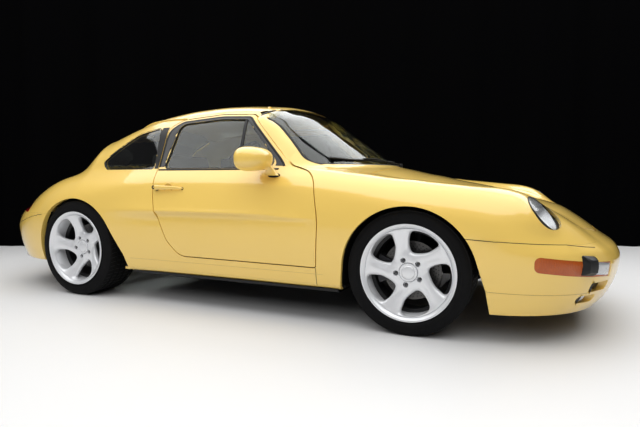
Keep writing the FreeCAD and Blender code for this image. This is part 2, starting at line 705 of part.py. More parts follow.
def make_front_bumper():
    raw = round_plan(along(-.2), -89, 89, up(.116), up(.434), 60, 18, 0, size.bumper_depth)
    bumper = raw.common(bumper_zone(0)).cut(front_lid_hole)
    tool = arch_tool(front_arch_centre, FRONT_ARCH_SHARES)
    lamp = seen_from_side(placed(LAMP_STRIP_SHARES), [up(.02), up(.02), up(.005), up(.005)], y0=out(.50))
    half, low, high = INTAKE_SHARES
    slot = slice_box(along(-.5), front_x, -out(half), out(half), up(low), up(high))
    cutters = [tool, mirrored(tool), lamp, mirrored(lamp), slot]
    for near, far, foot, head in AIR_SLOT_SHARES:
        corners = [(out(near), up(foot)), (out(far), up(foot)), (out(far), up(head)), (out(near), up(head))]
        hole = across(corners, [up(.012)] * len(corners), along(-.5), front_x)
        cutters += [hole, mirrored(hole)]
    for cutter in cutters:
        bumper = bumper.cut(cutter)
    piece("front_bumper", biggest(bumper))
    inner = round_plan(along(-.2), -89, 89, up(.116), up(.434), 60, 18, size.seam, size.panel)
    piece("front_turn_lamps", both(biggest(inner.common(lamp))))
    recessed = round_plan(along(-.2), -60, 60, up(.116), up(.434), 40, 18, size.panel, size.glass)
    piece("bumper_grille", biggest(recessed.common(slot)))


REAR_LAMP_SHARE = .52
PIPE_SHARES = (.85, .66, .158)


def make_tail():
    bumper = round_plan(along(1.2), 91, 269, up(.165), bumper_top, 60, 18, 0, size.bumper_depth)
    tool = arch_tool(rear_arch_centre, REAR_ARCH_SHARES)
    bumper = bumper.common(slice_box(rear_x, rear_axle, -wide, wide, low_z, bumper_top))
    pipe = Part.makeCylinder(size.pipe_radius + size.shut_gap, size.tail_reach,
                             Vector(rear_x, out(PIPE_SHARES[1]), up(PIPE_SHARES[2])), Vector(1, 0, 0))
    for cutter in (tool, mirrored(tool), pipe, mirrored(pipe)):
        bumper = bumper.cut(cutter)
    piece("rear_bumper", biggest(bumper))
    band = round_plan(along(1.2), 91, 269, bumper_top + size.seam, lamp_top - size.seam, 60, 10, 0, size.panel)
    band = band.cut(slice_box(tail_seam - size.seam, front_x, -wide, wide, low_z, top_z)).cut(rear_lid_hole)
    inboard = out(REAR_LAMP_SHARE)
    corner = slice_box(rear_x, front_x, inboard, wide, low_z, top_z)
    piece("rear_panel", biggest(band.cut(corner).cut(mirrored(corner))))
    lamp = band.common(slice_box(rear_x, front_x, inboard + size.seam, wide, low_z, top_z))
    piece("tail_lamps", both(biggest(lamp)))


def make_glass():
    screen = from_front(up(.62), up(.99), -out(.78), out(.78), 20, 34, size.glass_inset, even(size.glass))
    piece("windscreen", biggest(screen.common(across(*screen_outline(0), along(.48), along(.06)))))
    rear = from_above(along(1.31), along(.87), -out(.62), out(.62), 20, 24, size.glass_inset, size.glass)
    piece("rear_window", biggest(rear.common(seen_from_above(rear_glass_points, rear_glass_radii, z0=up(.5)))))
    side = round_section(along(.72), along(.97), 40, 74, 16, 20, size.glass_inset, size.glass)
    points, radii = grown(quarter_points, quarter_radii, -size.seat_gap)
    piece("quarter_windows", both(biggest(side.common(seen_from_side(points, radii, y0=out(.3))))))


def door_thickness(point):
    """Full depth below the window, frame depth above it."""
    share = min(max((point.z - up(.63)) / up(.05), 0), 1)
    return size.door_depth + share * (size.frame_depth - size.door_depth)


def make_doors():
    raw = from_side(along(.19), along(.75), up(.235), up(.93), 32, 54, 0, door_thickness)
    window = seen_from_side(window_points, window_radii, y0=out(.3))
    door = biggest(raw.common(seen_from_side(door_points, door_radii, y0=out(.3))).cut(window))
    pair("door", door)
    pane = from_side(along(.30), along(.73), up(.65), up(.92), 20, 16, size.glass_inset * 2, even(size.glass))
    points, radii = grown(window_points, window_radii, -size.seat_gap)
    pair("door_glass", biggest(pane.common(seen_from_side(points, radii, y0=out(.3)))))


# Solids bound to the sheet. Corners are expressions in the sheet's names.
def bound(expression):
    """Expression with every sheet name given its sheet."""
    words = re.findall(r"[a-z_]+", expression)
    for word in sorted(set(words), key=len, reverse=True):
        expression = re.sub(rf"(?<![a-z_.]){word}(?![a-z_])", f"size.{word}", expression)
    return expression


def put(thing, corner):
    for axis, expression in zip("xyz", corner):
        thing.setExpression(f"Placement.Base.{axis}", bound(expression))
    return thing


def block(name, low, high):
    """Box between two corners."""
    thing = doc.addObject("Part::Box", name)
    for side, first, last in zip(("Length", "Width", "Height"), low, high):
        thing.setExpression(side, bound(f"({last}) - ({first})"))
    return put(thing, low)


TURNS = {"x": Rotation(Vector(0, 1, 0), 90), "y": Rotation(Vector(1, 0, 0), -90), "z": Rotation()}


def rod(name, start, radius, reach, axis):
    """Cylinder from a start point along an axis."""
    thing = doc.addObject("Part::Cylinder", name)
    thing.setExpression("Radius", bound(radius))
    thing.setExpression("Height", bound(reach))
    thing.Placement.Rotation = TURNS[axis]
    return put(thing, start)


def fused(name, parts):
    thing = doc.addObject("Part::MultiFuse", name)
    thing.Shapes = parts
    return thing


def cut(name, base, tool):
    thing = doc.addObject("Part::Cut", name)
    thing.Base = base
    thing.Tool = tool
    return thing


def revolved(points):
    """Solid of revolution about Z from a closed profile of radius and height."""
    wire = Part.makePolygon([Vector(radius, 0, height) for radius, height in points + points[:1]])
    return Part.Face(wire).revolve(Vector(), Vector(0, 0, 1), 360)


def wheel_place(axle_x, track, radius, sign):
    """Local Z points out of the car's side."""
    turn = Rotation(Vector(1, 0, 0), -90 if sign > 0 else 90)
    return FreeCAD.Placement(Vector(axle_x, sign * track / 2, radius), turn)


# Twisted spoke window: radius share of the bead seat, and degrees from its leading edge
SPOKE_WINDOW_SHARES = ((.70, 0), (.80, 1.5), (.905, 5), (.945, 22), (.945, 42), (.89, 46), (.74, 45), (.61, 42),
                       (.50, 32), (.45, 22), (.445, 13), (.48, 5), (.58, .8))
SPOKES = 5


def rim_shape(width, offset, sign):
    """Barrel, flanges and dished disc in wheel coordinates, then the five windows and lug recesses."""
    seat = size.rim_radius
    flange = seat + size.flange_height
    half = width / 2
    wall = size.rim_wall
    well = seat * .90
    face = offset
    disc = size.spoke_depth
    profile = [(size.hub_bore, face), (size.lug_circle * 1.45, face), (size.lug_circle * 1.7, face - disc * .35),
               (seat * .93, half * .62), (well - wall, half * .40), (well - wall, -half * .55),
               (seat - wall, -half * .90), (seat - wall, -half - wall), (flange, -half - wall), (flange, -half),
               (seat, -half), (seat, -half * .55), (well, -half * .40), (well, half * .30), (seat, half * .55),
               (seat, half), (flange, half), (flange, half + wall), (seat - wall, half + wall),
               (seat * .94, half), (seat * .90, half * .62 + disc * .9), (size.lug_circle * 1.75, face + disc * .55),
               (size.lug_circle * 1.4, face + disc), (size.hub_bore, face + disc)]
    shape = revolved(profile)
    points = [Vector(seat * share * math.cos(math.radians(-sign * angle)),
                     seat * share * math.sin(math.radians(-sign * angle)), 0) for share, angle in SPOKE_WINDOW_SHARES]
    curve = Part.BSplineCurve()
    curve.interpolate(points, PeriodicFlag=True)
    window = Part.Face(Part.Wire(curve.toShape())).extrude(Vector(0, 0, half + face + disc))
    lug = Part.makeCylinder(size.lug_radius, disc, Vector(size.lug_circle, 0, face + disc * .45), Vector(0, 0, 1))
    lug.rotate(Vector(), Vector(0, 0, 1), sign * 25)
    tools = []
    for index in range(SPOKES):
        for tool in (window, lug):
            copy = tool.copy()
            copy.rotate(Vector(), Vector(0, 0, 1), 90 + index * 360 / SPOKES)
            tools.append(copy)
    return shape.cut(tools)


TYRE_SHARES = ((0, .40), (.10, .475), (.42, .50), (.80, .455), (.955, .385), (1, .30))


def tyre_shape(width, rim_width, radius):
    """Closed ring whose profile is given as shares of section height and width."""
    seat = size.rim_radius + size.seat_gap
    height = radius - seat
    outer = [(seat + height * rise, width * reach) for rise, reach in TYRE_SHARES]
    bead = rim_width / 2 - size.seat_gap
    outer[0] = (seat, bead)
    outer[1] = (seat + size.flange_height + size.seat_gap, bead)
    profile = [(r, -w) for r, w in outer] + [(r, w) for r, w in reversed(outer)]
    inner = [(seat, width * .30), (seat + height * .55, width * .30),
             (seat + height * .55, -width * .30), (seat, -width * .30)]
    return revolved(profile + inner)


def disc_shape(offset):
    """Ventilated disc as a ring with its bell, bolted behind the rim's mounting face."""
    radius = size.disc_radius
    face = offset - size.seat_gap
    bell = size.lug_circle * 1.3
    thick = size.disc_thickness
    drop = thick * 1.7
    profile = [(size.hub_bore, face), (bell, face), (bell, face - drop), (radius, face - drop),
               (radius, face - drop - thick), (bell - thick / 3, face - drop - thick),
               (bell - thick / 3, face - thick / 3), (size.hub_bore, face - thick / 3)]
    return revolved(profile)


WHEELS = (("front_left", "front", 1), ("front_right", "front", -1), ("rear_left", "rear", 1),
          ("rear_right", "rear", -1))


def make_wheels():
    for place, end, sign in WHEELS:
        front = end == "front"
        width = size.front_rim_width if front else size.rear_rim_width
        offset = size.front_rim_offset if front else size.rear_rim_offset
        radius = size.front_tyre_radius if front else size.rear_tyre_radius
        section = size.front_tyre_width if front else size.rear_tyre_width
        at = wheel_place(front_axle if front else rear_axle, size.front_track if front else size.rear_track,
                         radius, sign)
        for name, shape in (("rim", rim_shape(width, offset, sign)), ("tyre", tyre_shape(section, width, radius)),
                            ("brake_disc", disc_shape(offset))):
            piece(f"{name}_{place}", shape, at)


def ring_sector(inner, outer, low, high, angle0, angle1):
    """Part of a ring about Z, between two angles."""
    first = Vector(math.cos(math.radians(angle0)), math.sin(math.radians(angle0)), 0)
    wire = Part.makePolygon([first * inner + Vector(0, 0, low), first * outer + Vector(0, 0, low),
                             first * outer + Vector(0, 0, high), first * inner + Vector(0, 0, high),
                             first * inner + Vector(0, 0, low)])
    return Part.Face(wire).revolve(Vector(), Vector(0, 0, 1), angle1 - angle0)


def caliper_shape(offset, angle):
    """Brake caliper astride the disc, in wheel coordinates."""
    middle = offset - size.seat_gap - size.disc_thickness * 2.2
    half = size.caliper_width / 2
    body = ring_sector(size.disc_radius * .66, size.disc_radius * 1.20, middle - half, middle + half * .8,
                       angle - 24, angle + 24)
    slot = size.disc_thickness / 2 + size.shut_gap
    gap = ring_sector(size.disc_radius * .4, size.disc_radius + size.shut_gap, middle - slot, middle + slot,
                      angle - 60, angle + 60)
    return body.cut(gap)


# How much of the way to its top mount a strut shows below the wheelhouse
STRUT_SHARE = .9


def make_front_knuckles():
    """Hub carrier, caliper, steering arm and strut, which turn together about the steering pivot."""
    at = wheel_place(front_axle, size.front_track, size.front_tyre_radius, 1)
    offset = size.front_rim_offset
    face = offset - size.seat_gap - size.disc_thickness / 3 - size.seat_gap
    axle_z = size.front_tyre_radius
    middle_y = size.front_track / 2
    inner = size.pivot_low_y - size.hub_radius / 2 - middle_y
    hub = Part.makeCylinder(size.hub_radius, face - inner, Vector(0, 0, inner), Vector(0, 0, 1))
    nose = Part.makeCylinder(size.hub_bore - size.seat_gap, offset + size.spoke_depth - inner,
                             Vector(0, 0, inner), Vector(0, 0, 1))
    shape = hub.fuse(nose).fuse(caliper_shape(offset, 180))
    shape = shape.transformGeometry(at.toMatrix())
    half = size.arm_depth
    post_y = size.pivot_low_y - size.arm_depth
    post = slice_box(front_axle - half, front_axle + half, post_y, post_y + 2 * half * .8,
                     size.pivot_low_z + size.arm_depth * .5, axle_z + size.hub_radius * 1.6)
    top = Vector(front_axle, size.pivot_high_y, size.pivot_high_z)
    foot = Vector(front_axle, size.pivot_low_y - size.hub_radius * 1.55, axle_z + size.hub_radius)
    strut = Part.makeCylinder(size.strut_radius, (top - foot).Length * STRUT_SHARE, foot, top - foot)
    clamp = slice_box(front_axle - half, front_axle + half, foot.y - half, post_y + half,
                      axle_z + size.hub_radius * .4, axle_z + size.hub_radius * 1.6)
    arm = slice_box(front_axle - size.hub_radius * 2.4, front_axle, post_y, post_y + half,
                    axle_z - size.hub_radius * 1.2, axle_z - size.hub_radius * .6)
    bracket = slice_box(front_axle - size.disc_radius * .95, front_axle, post_y, post_y + half * 1.5,
                        axle_z - size.hub_radius * .4, axle_z + size.hub_radius * .4)
    pair("knuckle_front", shape.multiFuse([post, strut, clamp, arm, bracket]))


def make_front_suspension():
    """Wishbones and rack under the front floor, with the struts' top mounts."""
    parts = [block("front_crossmember", ("front_axle - arm_depth * 3", "-half_width * .42", "pivot_low_z - arm_depth"),
                   ("front_axle + arm_depth * 3", "half_width * .42", "body_height * .20 - seat_gap"))]
    for side, sign in (("left", 1), ("right", -1)):
        near, far = ("half_width * .40", "pivot_low_y + arm_depth * .6")
        low = near if sign > 0 else f"-({far})"
        high = far if sign > 0 else f"-({near})"
        parts.append(block(f"wishbone_{side}", ("front_axle - arm_depth * .7", low, "pivot_low_z - arm_depth"),
                           ("front_axle + arm_depth * .7", high, "pivot_low_z + arm_depth * .2")))
    parts.append(rod("steering_rack", ("front_axle - arm_depth * 4", "-half_width * .45", "pivot_low_z + arm_depth"),
                     "arm_depth", "half_width * .90", "y"))
    keep("front_suspension", fused("front_suspension_parts", parts))


def make_rear_suspension():
    """Hub carriers with calipers, drive shafts and arms."""
    at = wheel_place(rear_axle, size.rear_track, size.rear_tyre_radius, 1)
    offset = size.rear_rim_offset
    face = offset - size.seat_gap - size.disc_thickness / 3 - size.seat_gap
    inner = -size.rear_tyre_width * .42
    hub = Part.makeCylinder(size.hub_radius, face - inner, Vector(0, 0, inner), Vector(0, 0, 1))
    nose = Part.makeCylinder(size.hub_bore - size.seat_gap, offset + size.spoke_depth - inner,
                             Vector(0, 0, inner), Vector(0, 0, 1))
    shaft_reach = size.rear_track / 2 - out(.12) - size.seat_gap
    shaft = Part.makeCylinder(size.arm_depth * .6, shaft_reach, Vector(0, 0, -shaft_reach), Vector(0, 0, 1))
    shape = hub.multiFuse([nose, shaft, caliper_shape(offset, 0)]).transformGeometry(at.toMatrix())
    carrier_y = size.rear_track / 2 + inner
    carrier = slice_box(rear_axle - size.hub_radius, rear_axle + size.disc_radius * .9, carrier_y,
                        carrier_y + size.arm_depth * 2.2, size.pivot_low_z, size.rear_tyre_radius + size.hub_radius)
    arm = slice_box(rear_axle - size.arm_depth, rear_axle + size.arm_depth, out(.42), carrier_y + size.arm_depth,
                    size.pivot_low_z, size.pivot_low_z + size.arm_depth)
    left = shape.multiFuse([carrier, arm])
    beam = slice_box(rear_axle - size.hub_radius, rear_axle + size.hub_radius, -out(.44), out(.44),
                     size.pivot_low_z - size.arm_depth / 2, size.pivot_low_z + size.arm_depth)
    mount = slice_box(rear_axle - size.hub_radius, rear_axle + size.hub_radius, -out(.10), out(.10),
                      size.pivot_low_z, up(.20) - size.seat_gap)
    piece("rear_suspension", left.multiFuse([mirrored(left), beam, mount]))


def wheelhouse(name, axle, radius, tyre, near, far, sign):
    """Half drum over a wheel, closed on its inner side."""
    low = near if sign > 0 else f"-({far})"
    outer = rod(f"{name}_drum", (axle, low, tyre), f"{radius} + sheet_metal", f"({far}) - ({near})", "y")
    inside = f"{near} + sheet_metal" if sign > 0 else f"-({far}) - overrun"
    hollow = rod(f"{name}_hollow", (axle, inside, tyre), radius, f"({far}) - ({near}) - sheet_metal + overrun", "y")
    shell = cut(f"{name}_shell", outer, hollow)
    ground = block(f"{name}_foot", (f"{axle} - {radius} - overrun", f"{low} - overrun", f"-{radius}"),
                   (f"{axle} + {radius} + overrun", f"{low} + ({far}) - ({near}) + overrun", f"{tyre} - arm_depth"))
    return cut(name, shell, ground)


def hollow_box(name, low, high, wall):
    """Open-topped box."""
    outer = block(f"{name}_outer", low, high)
    inner = block(f"{name}_inner", tuple(f"{part} + {wall}" for part in low),
                  (f"{high[0]} - {wall}", f"{high[1]} - {wall}", f"{high[2]} + overrun"))
    return cut(name, outer, inner)


def make_floor():
    """Floor, tunnel, bulkheads, luggage tub, wheelhouses and rear rails as one welded shell."""
    floor_z = "body_height * .150"
    parts = [
        block("floor", ("front_axle - wheelbase * .86", "-half_width * .83", floor_z),
              ("front_axle - wheelbase * .16", "half_width * .83", f"{floor_z} + sheet_metal")),
        block("tunnel", ("front_axle - wheelbase * .86", "-half_width * .13", floor_z),
              ("front_axle - wheelbase * .17", "half_width * .13", "body_height * .28")),
        block("front_bulkhead", ("front_axle - wheelbase * .175", "-half_width * .83", floor_z),
              ("front_axle - wheelbase * .175 + sheet_metal", "half_width * .83", "body_height * .60")),
        block("rear_bulkhead", ("front_axle - wheelbase * .86", "-half_width * .64", floor_z),
              ("front_axle - wheelbase * .86 + sheet_metal", "half_width * .64", "body_height * .62")),
        block("rear_shelf", ("front_axle - wheelbase * .86", "-half_width * .64", "body_height * .27 - sheet_metal"),
              ("front_axle - wheelbase * .775", "half_width * .64", "body_height * .27 - seat_gap")),
        block("rear_riser", ("front_axle - wheelbase * .775 - sheet_metal", "-half_width * .64", floor_z),
              ("front_axle - wheelbase * .775", "half_width * .64", "body_height * .27 - seat_gap")),
        hollow_box("luggage_tub", ("front_axle - wheelbase * .17", "-half_width * .47", "body_height * .20"),
                   ("front_axle + nose_reach * .62", "half_width * .47", "body_height * .445"), "sheet_metal"),
    ]
    for side, sign in (("left", 1), ("right", -1)):
        parts.append(wheelhouse(f"front_wheelhouse_{side}", "front_axle", "liner_radius", "front_tyre_radius",
                                "half_width * .46", "half_width * .88", sign))
        parts.append(wheelhouse(f"rear_wheelhouse_{side}", "rear_axle", "rear_liner_radius", "rear_tyre_radius",
                                "half_width * .635", "half_width * .885", sign))
        low, high = ("half_width * .80", "half_width * .885") if sign > 0 else ("-half_width * .885", "-half_width * .80")
        parts.append(block(f"hinge_pillar_{side}", ("front_axle - wheelbase * .208", low, "body_height * .162"),
                           ("front_axle - wheelbase * .175 + sheet_metal", high, "body_height * .57")))
        low, high = ("half_width * .54", "half_width * .64") if sign > 0 else ("-half_width * .64", "-half_width * .54")
        parts.append(block(f"rear_rail_{side}", ("rear_axle - tail_reach * .80", low, "body_height * .34"),
                           ("front_axle - wheelbase * .855", high, "body_height * .40")))
    parts.append(block("rear_crossmember", ("rear_axle - tail_reach * .80", "-half_width * .60", "body_height * .34"),
                       ("rear_axle - tail_reach * .72", "half_width * .60", "body_height * .40")))
    shaft_hole = rod("shaft_hole", ("rear_axle", "-half_width * .70", "rear_tyre_radius"), "arm_depth * .8",
                     "half_width * 1.40", "y")
    keep("floor_pan", cut("floor_pan_open", fused("floor_pan_parts", parts), shaft_hole))


def make_drive():
    """Engine and gearbox as plain blocks of their real size, and the exhaust."""
    engine = block("engine", ("rear_axle - tail_reach * .72 + seat_gap", "-half_width * .36", "body_height * .215"),
                   ("rear_axle - tail_reach * .10", "half_width * .36", "body_height * .44"))
    gearbox = block("gearbox", ("rear_axle - tail_reach * .10", "-half_width * .12", "body_height * .20"),
                    ("rear_axle + wheelbase * .12", "half_width * .12", "body_height * .33"))
    keep("engine_block", fused("engine_block_parts", [engine, gearbox]))
    parts = [rod("exhaust_link", ("rear_axle - tail_reach * .62", "-half_width * .55",
                                   "body_height * .215 - pipe_radius * .8 - seat_gap"),
                 "pipe_radius * .8", "half_width * 1.10", "y")]
    for side, sign in (("left", "1"), ("right", "-1")):
        parts.append(rod(f"silencer_{side}", ("rear_axle - tail_reach * .78", f"half_width * .56 * {sign}",
                                              "body_height * .19"), "pipe_radius * 2.4", "tail_reach * .34", "x"))
        parts.append(rod(f"tail_pipe_{side}", (f"rear_axle - tail_reach * {PIPE_SHARES[0]}",
                                               f"half_width * {PIPE_SHARES[1]} * {sign}",
                                               f"body_height * {PIPE_SHARES[2]}"),
                         "pipe_radius", "tail_reach * .22", "x"))
    keep("exhaust", fused("exhaust_parts", parts))


SEAT_SHARES = ((.495, .235), (.505, .325), (.60, .30), (.672, .335), (.715, .53), (.752, .73), (.785, .735),
               (.79, .69), (.745, .42), (.70, .235))
SEAT_RAIL_SHARES = ((.51, .1627), (.51, .25), (.69, .25), (.69, .1627))
REAR_SEAT_SHARES = ((.777, .27), (.785, .345), (.825, .335), (.838, .55), (.8527, .55), (.8527, .27))
DASH_SHARES = ((.1752, .46), (.1752, .605), (.235, .625), (.285, .60), (.290, .52), (.24, .46))


def profile_solid(shares, corner, y0, y1):
    points = placed(shares)
    return seen_from_side(points, [corner] * len(points), y0, y1)


def make_cabin():
    near = out(.44) - size.seat_width / 2
    far = out(.44) + size.seat_width / 2
    seat = profile_solid(SEAT_SHARES, up(.03), near, far)
    for y in (near, far - size.overrun):
        seat = seat.fuse(profile_solid(SEAT_RAIL_SHARES, up(.005), y, y + size.overrun))
    piece("seats_front", both(seat))
    piece("seats_rear", both(profile_solid(REAR_SEAT_SHARES, up(.02), out(.16), out(.58))))
    dash = profile_solid(DASH_SHARES, up(.03), -out(.74), out(.74))
    reach = Vector(-math.cos(math.radians(size.column_tilt)), 0, math.sin(math.radians(size.column_tilt)))
    centre = steering_centre()
    start = up(COLUMN_SHARE)
    end = size.steering_rim_radius * BOSS_SHARE + size.seat_gap
    column = Part.makeCylinder(size.arm_depth, start - end, centre - reach * start, reach)
    piece("dashboard", dash.fuse(column))


COLUMN_SHARE = .26
BOSS_SHARE = 2.4


def steering_centre():
    return Vector(along(.40), out(.44), up(.575))


def make_steering_wheel():
    """Rim, boss and four spokes in the wheel's own frame, its axis along the column."""
    radius = size.steering_wheel_radius
    tube = size.steering_rim_radius
    shape = Part.makeTorus(radius, tube)
    boss = Part.makeCylinder(radius * .38, tube * 3, Vector(0, 0, -tube * BOSS_SHARE), Vector(0, 0, 1))
    spokes = [Part.makeBox(radius, tube * 1.8, tube * .8, Vector(0, -tube * .9, -tube * .4)) for _ in range(4)]
    for spoke, angle in zip(spokes, (15, 165, 215, 325)):
        spoke.rotate(Vector(), Vector(0, 0, 1), angle - 90)
    turn = Rotation(Vector(0, 1, 0), -90 + size.column_tilt)
    piece("steering_wheel", shape.multiFuse([boss] + spokes), FreeCAD.Placement(steering_centre(), turn))


MIRROR_CENTRE_SHARES = (.367, 1.02, .693)
# Sections of the housing from its glass forwards: X, half-width and half-height as shares of its reach
MIRROR_SECTION_SHARES = ((-.50, .92, .52), (-.30, 1, .57), (.10, .96, .55), (.45, .80, .46), (.70, .52, .30),
                         (.80, .12, .08))
MIRROR_POWER_SHARE = 2.6
# Sections of the stalk from the door upwards: X, Y and Z of the middle, half-length and half-depth
STALK_SHARES = ((.52, .1927, -.76, .32, .19), (.46, .24, -.55, .25, .17), (.30, .42, -.25, .24, .20))


def oval(centre, first, second):
    """Closed curve between an ellipse and a box round a centre, with two half axes."""
    points = []
    for angle in spread(0, 360, 25)[:-1]:
        c, s = math.cos(math.radians(angle)), math.sin(math.radians(angle))
        bulge = (abs(c) ** MIRROR_POWER_SHARE + abs(s) ** MIRROR_POWER_SHARE) ** (-1 / MIRROR_POWER_SHARE)
        points.append(centre + first * (c * bulge) + second * (s * bulge))
    curve = Part.BSplineCurve()
    curve.interpolate(points, PeriodicFlag=True)
    return Part.Wire(curve.toShape())


def make_mirrors():
    """Rounded housings, flat at the back, each on a stalk at the door's front corner."""
    centre = Vector(along(MIRROR_CENTRE_SHARES[0]), out(MIRROR_CENTRE_SHARES[1]), up(MIRROR_CENTRE_SHARES[2]))
    reach = size.mirror_reach
    housing = Part.makeLoft([oval(centre + Vector(ahead * reach, 0, 0), Vector(0, half_y * reach, 0),
                                  Vector(0, 0, half_z * reach))
                             for ahead, half_y, half_z in MIRROR_SECTION_SHARES], True)
    foot = Vector(STALK_SHARES[0][0], 0, STALK_SHARES[0][2]) * reach + centre
    door_y = skin_point(Vector(foot.x, 0, foot.z), Vector(0, 1, 0), out(1.5), False).y + size.seat_gap
    stalk = Part.makeLoft([oval(Vector(centre.x + x * reach, door_y + y * reach, centre.z + z * reach),
                                Vector(half_x * reach, 0, 0), Vector(0, half_y * reach, 0))
                           for x, y, z, half_x, half_y in STALK_SHARES], True)
    pair("mirror", housing.fuse(stalk))


make_front_wings()
make_side_frames()
make_roof()
make_cowl()
make_lids()
make_front_bumper()
make_tail()
make_glass()
make_doors()
make_wheels()
make_front_knuckles()
make_front_suspension()
make_rear_suspension()
make_floor()
make_drive()
make_cabin()
make_steering_wheel()
make_mirrors()
doc.recompute()


def check_and_write():
    """Stops on a failed object, then writes each node's file."""
    for thing in doc.Objects:
        if {"Invalid", "Error"} & set(thing.State):
            raise ValueError(f"{thing.Name} failed: {thing.State}")
    for name, thing in nodes.items():
        if thing.Shape.isNull() or not thing.Shape.isValid():
            raise ValueError(f"{name} has no valid shape")
        thing.Shape.exportStep(f"parts/{name}.step")


check_and_write()
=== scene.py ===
import math
import bmesh
import bpy
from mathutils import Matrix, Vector
from mathutils.bvhtree import BVHTree

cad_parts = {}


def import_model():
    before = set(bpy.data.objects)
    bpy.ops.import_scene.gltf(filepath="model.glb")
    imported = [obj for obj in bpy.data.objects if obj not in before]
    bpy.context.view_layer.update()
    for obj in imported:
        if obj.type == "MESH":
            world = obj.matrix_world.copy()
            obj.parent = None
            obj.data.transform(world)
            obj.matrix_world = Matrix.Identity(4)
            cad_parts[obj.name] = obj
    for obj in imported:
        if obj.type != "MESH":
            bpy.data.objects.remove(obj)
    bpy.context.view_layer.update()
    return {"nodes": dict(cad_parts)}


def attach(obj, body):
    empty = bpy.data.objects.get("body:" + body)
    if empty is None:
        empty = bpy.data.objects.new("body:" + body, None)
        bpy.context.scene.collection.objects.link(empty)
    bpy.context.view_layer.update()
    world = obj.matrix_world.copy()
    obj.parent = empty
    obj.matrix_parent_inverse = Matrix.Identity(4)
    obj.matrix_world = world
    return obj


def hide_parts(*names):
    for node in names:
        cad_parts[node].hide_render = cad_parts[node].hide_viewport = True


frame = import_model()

nodes = frame["nodes"]
scene = bpy.context.scene
print("frame loaded:", len(nodes), "nodes")

# the car's main sizes in metres, as in the CAD source
car = {"length": 4.245, "wheelbase": 2.272, "noseReach": .985, "tailReach": .988,
       "halfWidth": .8675, "height": 1.29, "frontTrack": 1.405, "rearTrack": 1.444}
frontAxle = car["length"] / 2 - car["noseReach"]
rearAxle = frontAxle - car["wheelbase"]
axles = {"front": {"x": frontAxle, "y": car["frontTrack"] / 2, "z": .318, "half": .1015, "offset": .052,
                   "tyre": .1125, "radius": .318},
         "rear": {"x": rearAxle, "y": car["rearTrack"] / 2, "z": .320, "half": .127, "offset": .040,
                  "tyre": .1325, "radius": .320}}
sides = (("left", 1), ("right", -1))
corners = (("front_left", 1, True), ("front_right", -1, True), ("rear_left", 1, False), ("rear_right", -1, False))


def along(station):
    # -1 nose tip, 0 front axle, 1 rear axle, 2 tail tip
    if station < 0:
        return frontAxle - station * car["noseReach"]
    if station > 1:
        return rearAxle - (station - 1) * car["tailReach"]
    return frontAxle - station * car["wheelbase"]


def up(share):
    return share * car["height"]


def out(share):
    return share * car["halfWidth"]


class Sock:
    # a node's socket that can be used in sums

    def __init__(self, graph, socket):
        self.graph = graph
        self.socket = socket

    def math(self, operation, other=0.0, swap=False):
        first, second = (other, self) if swap else (self, other)
        return self.graph.add("ShaderNodeMath", {"operation": operation}, {0: first, 1: second})

    def __add__(self, other): return self.math("ADD", other)
    def __radd__(self, other): return self.math("ADD", other)
    def __sub__(self, other): return self.math("SUBTRACT", other)
    def __rsub__(self, other): return self.math("SUBTRACT", other, True)
    def __mul__(self, other): return self.math("MULTIPLY", other)
    def __rmul__(self, other): return self.math("MULTIPLY", other)
    def __pow__(self, other): return self.math("POWER", other)
    def __rpow__(self, other): return self.math("POWER", other, True)
    def least(self, other): return self.math("MINIMUM", other)
    def most(self, other): return self.math("MAXIMUM", other)


class Graph:
    # a node tree, and the one way in which nodes are added to it

    def __init__(self, tree):
        self.tree = tree

    def feed(self, socket, value):
        if isinstance(value, Sock):
            self.tree.links.new(value.socket, socket)
        else:
            socket.default_value = value

    def add(self, kind, settings, sockets, output=0):
        node = self.tree.nodes.new(kind)
        for key, value in settings.items():
            setattr(node, key, value)
        for key, value in sockets.items():
            self.feed(node.inputs[key], value)
        return Sock(self, node.outputs[output])

    def mix(self, mask, dark, light):
        dark, light = [c if isinstance(c, Sock) else (*c, 1) for c in (dark, light)]
        return self.add("ShaderNodeMix", {"data_type": "RGBA"}, {0: mask, 6: dark, 7: light}, 2)


class Finish(Graph):
    # one material: a Principled shader and the nodes that feed it

    def __init__(self, name, colour, roughness, **fixed):
        self.material = bpy.data.materials.new(name)
        self.material.use_nodes = True
        super().__init__(self.material.node_tree)
        self.set("Base Color", (*colour, 1))
        self.set("Roughness", roughness)
        for key, value in fixed.items():
            self.set(key.replace("_", " "), value)
        self.material.diffuse_color = (*colour, 1)

    def set(self, name, value):
        self.feed(self.tree.nodes["Principled BSDF"].inputs[name], value)

    def place(self):
        return self.add("ShaderNodeTexCoord", {}, {}, "Object")

    def noise(self, scale, detail=3.0, stretch=None):
        where = self.place()
        if stretch:
            where = self.add("ShaderNodeVectorMath", {"operation": "MULTIPLY"}, {0: where, 1: stretch})
        return self.add("ShaderNodeTexNoise", {}, {"Vector": where, "Scale": scale, "Detail": detail})

    def cells(self, scale):
        return self.add("ShaderNodeTexVoronoi", {}, {"Vector": self.place(), "Scale": scale})

    def ribs(self, scale):
        # upright ribs of a lens, side by side across the car
        return self.add("ShaderNodeTexWave", {"bands_direction": "Y"}, {"Vector": self.place(), "Scale": scale})

    def bump(self, height, strength, distance=.001):
        self.set("Normal", self.add("ShaderNodeBump", {}, {"Strength": strength, "Distance": distance,
                                                           "Height": height}))


paint = Finish("paleYellowPaint", (.88, .60, .13), .30, Coat_Weight=1.0, Coat_Roughness=.035, Specular_IOR_Level=.5)
paint.set("Base Color", paint.mix(paint.noise(1.7), (.865, .585, .125), (.895, .61, .14)))
paint.bump(paint.noise(340, 2), .012, .0004)

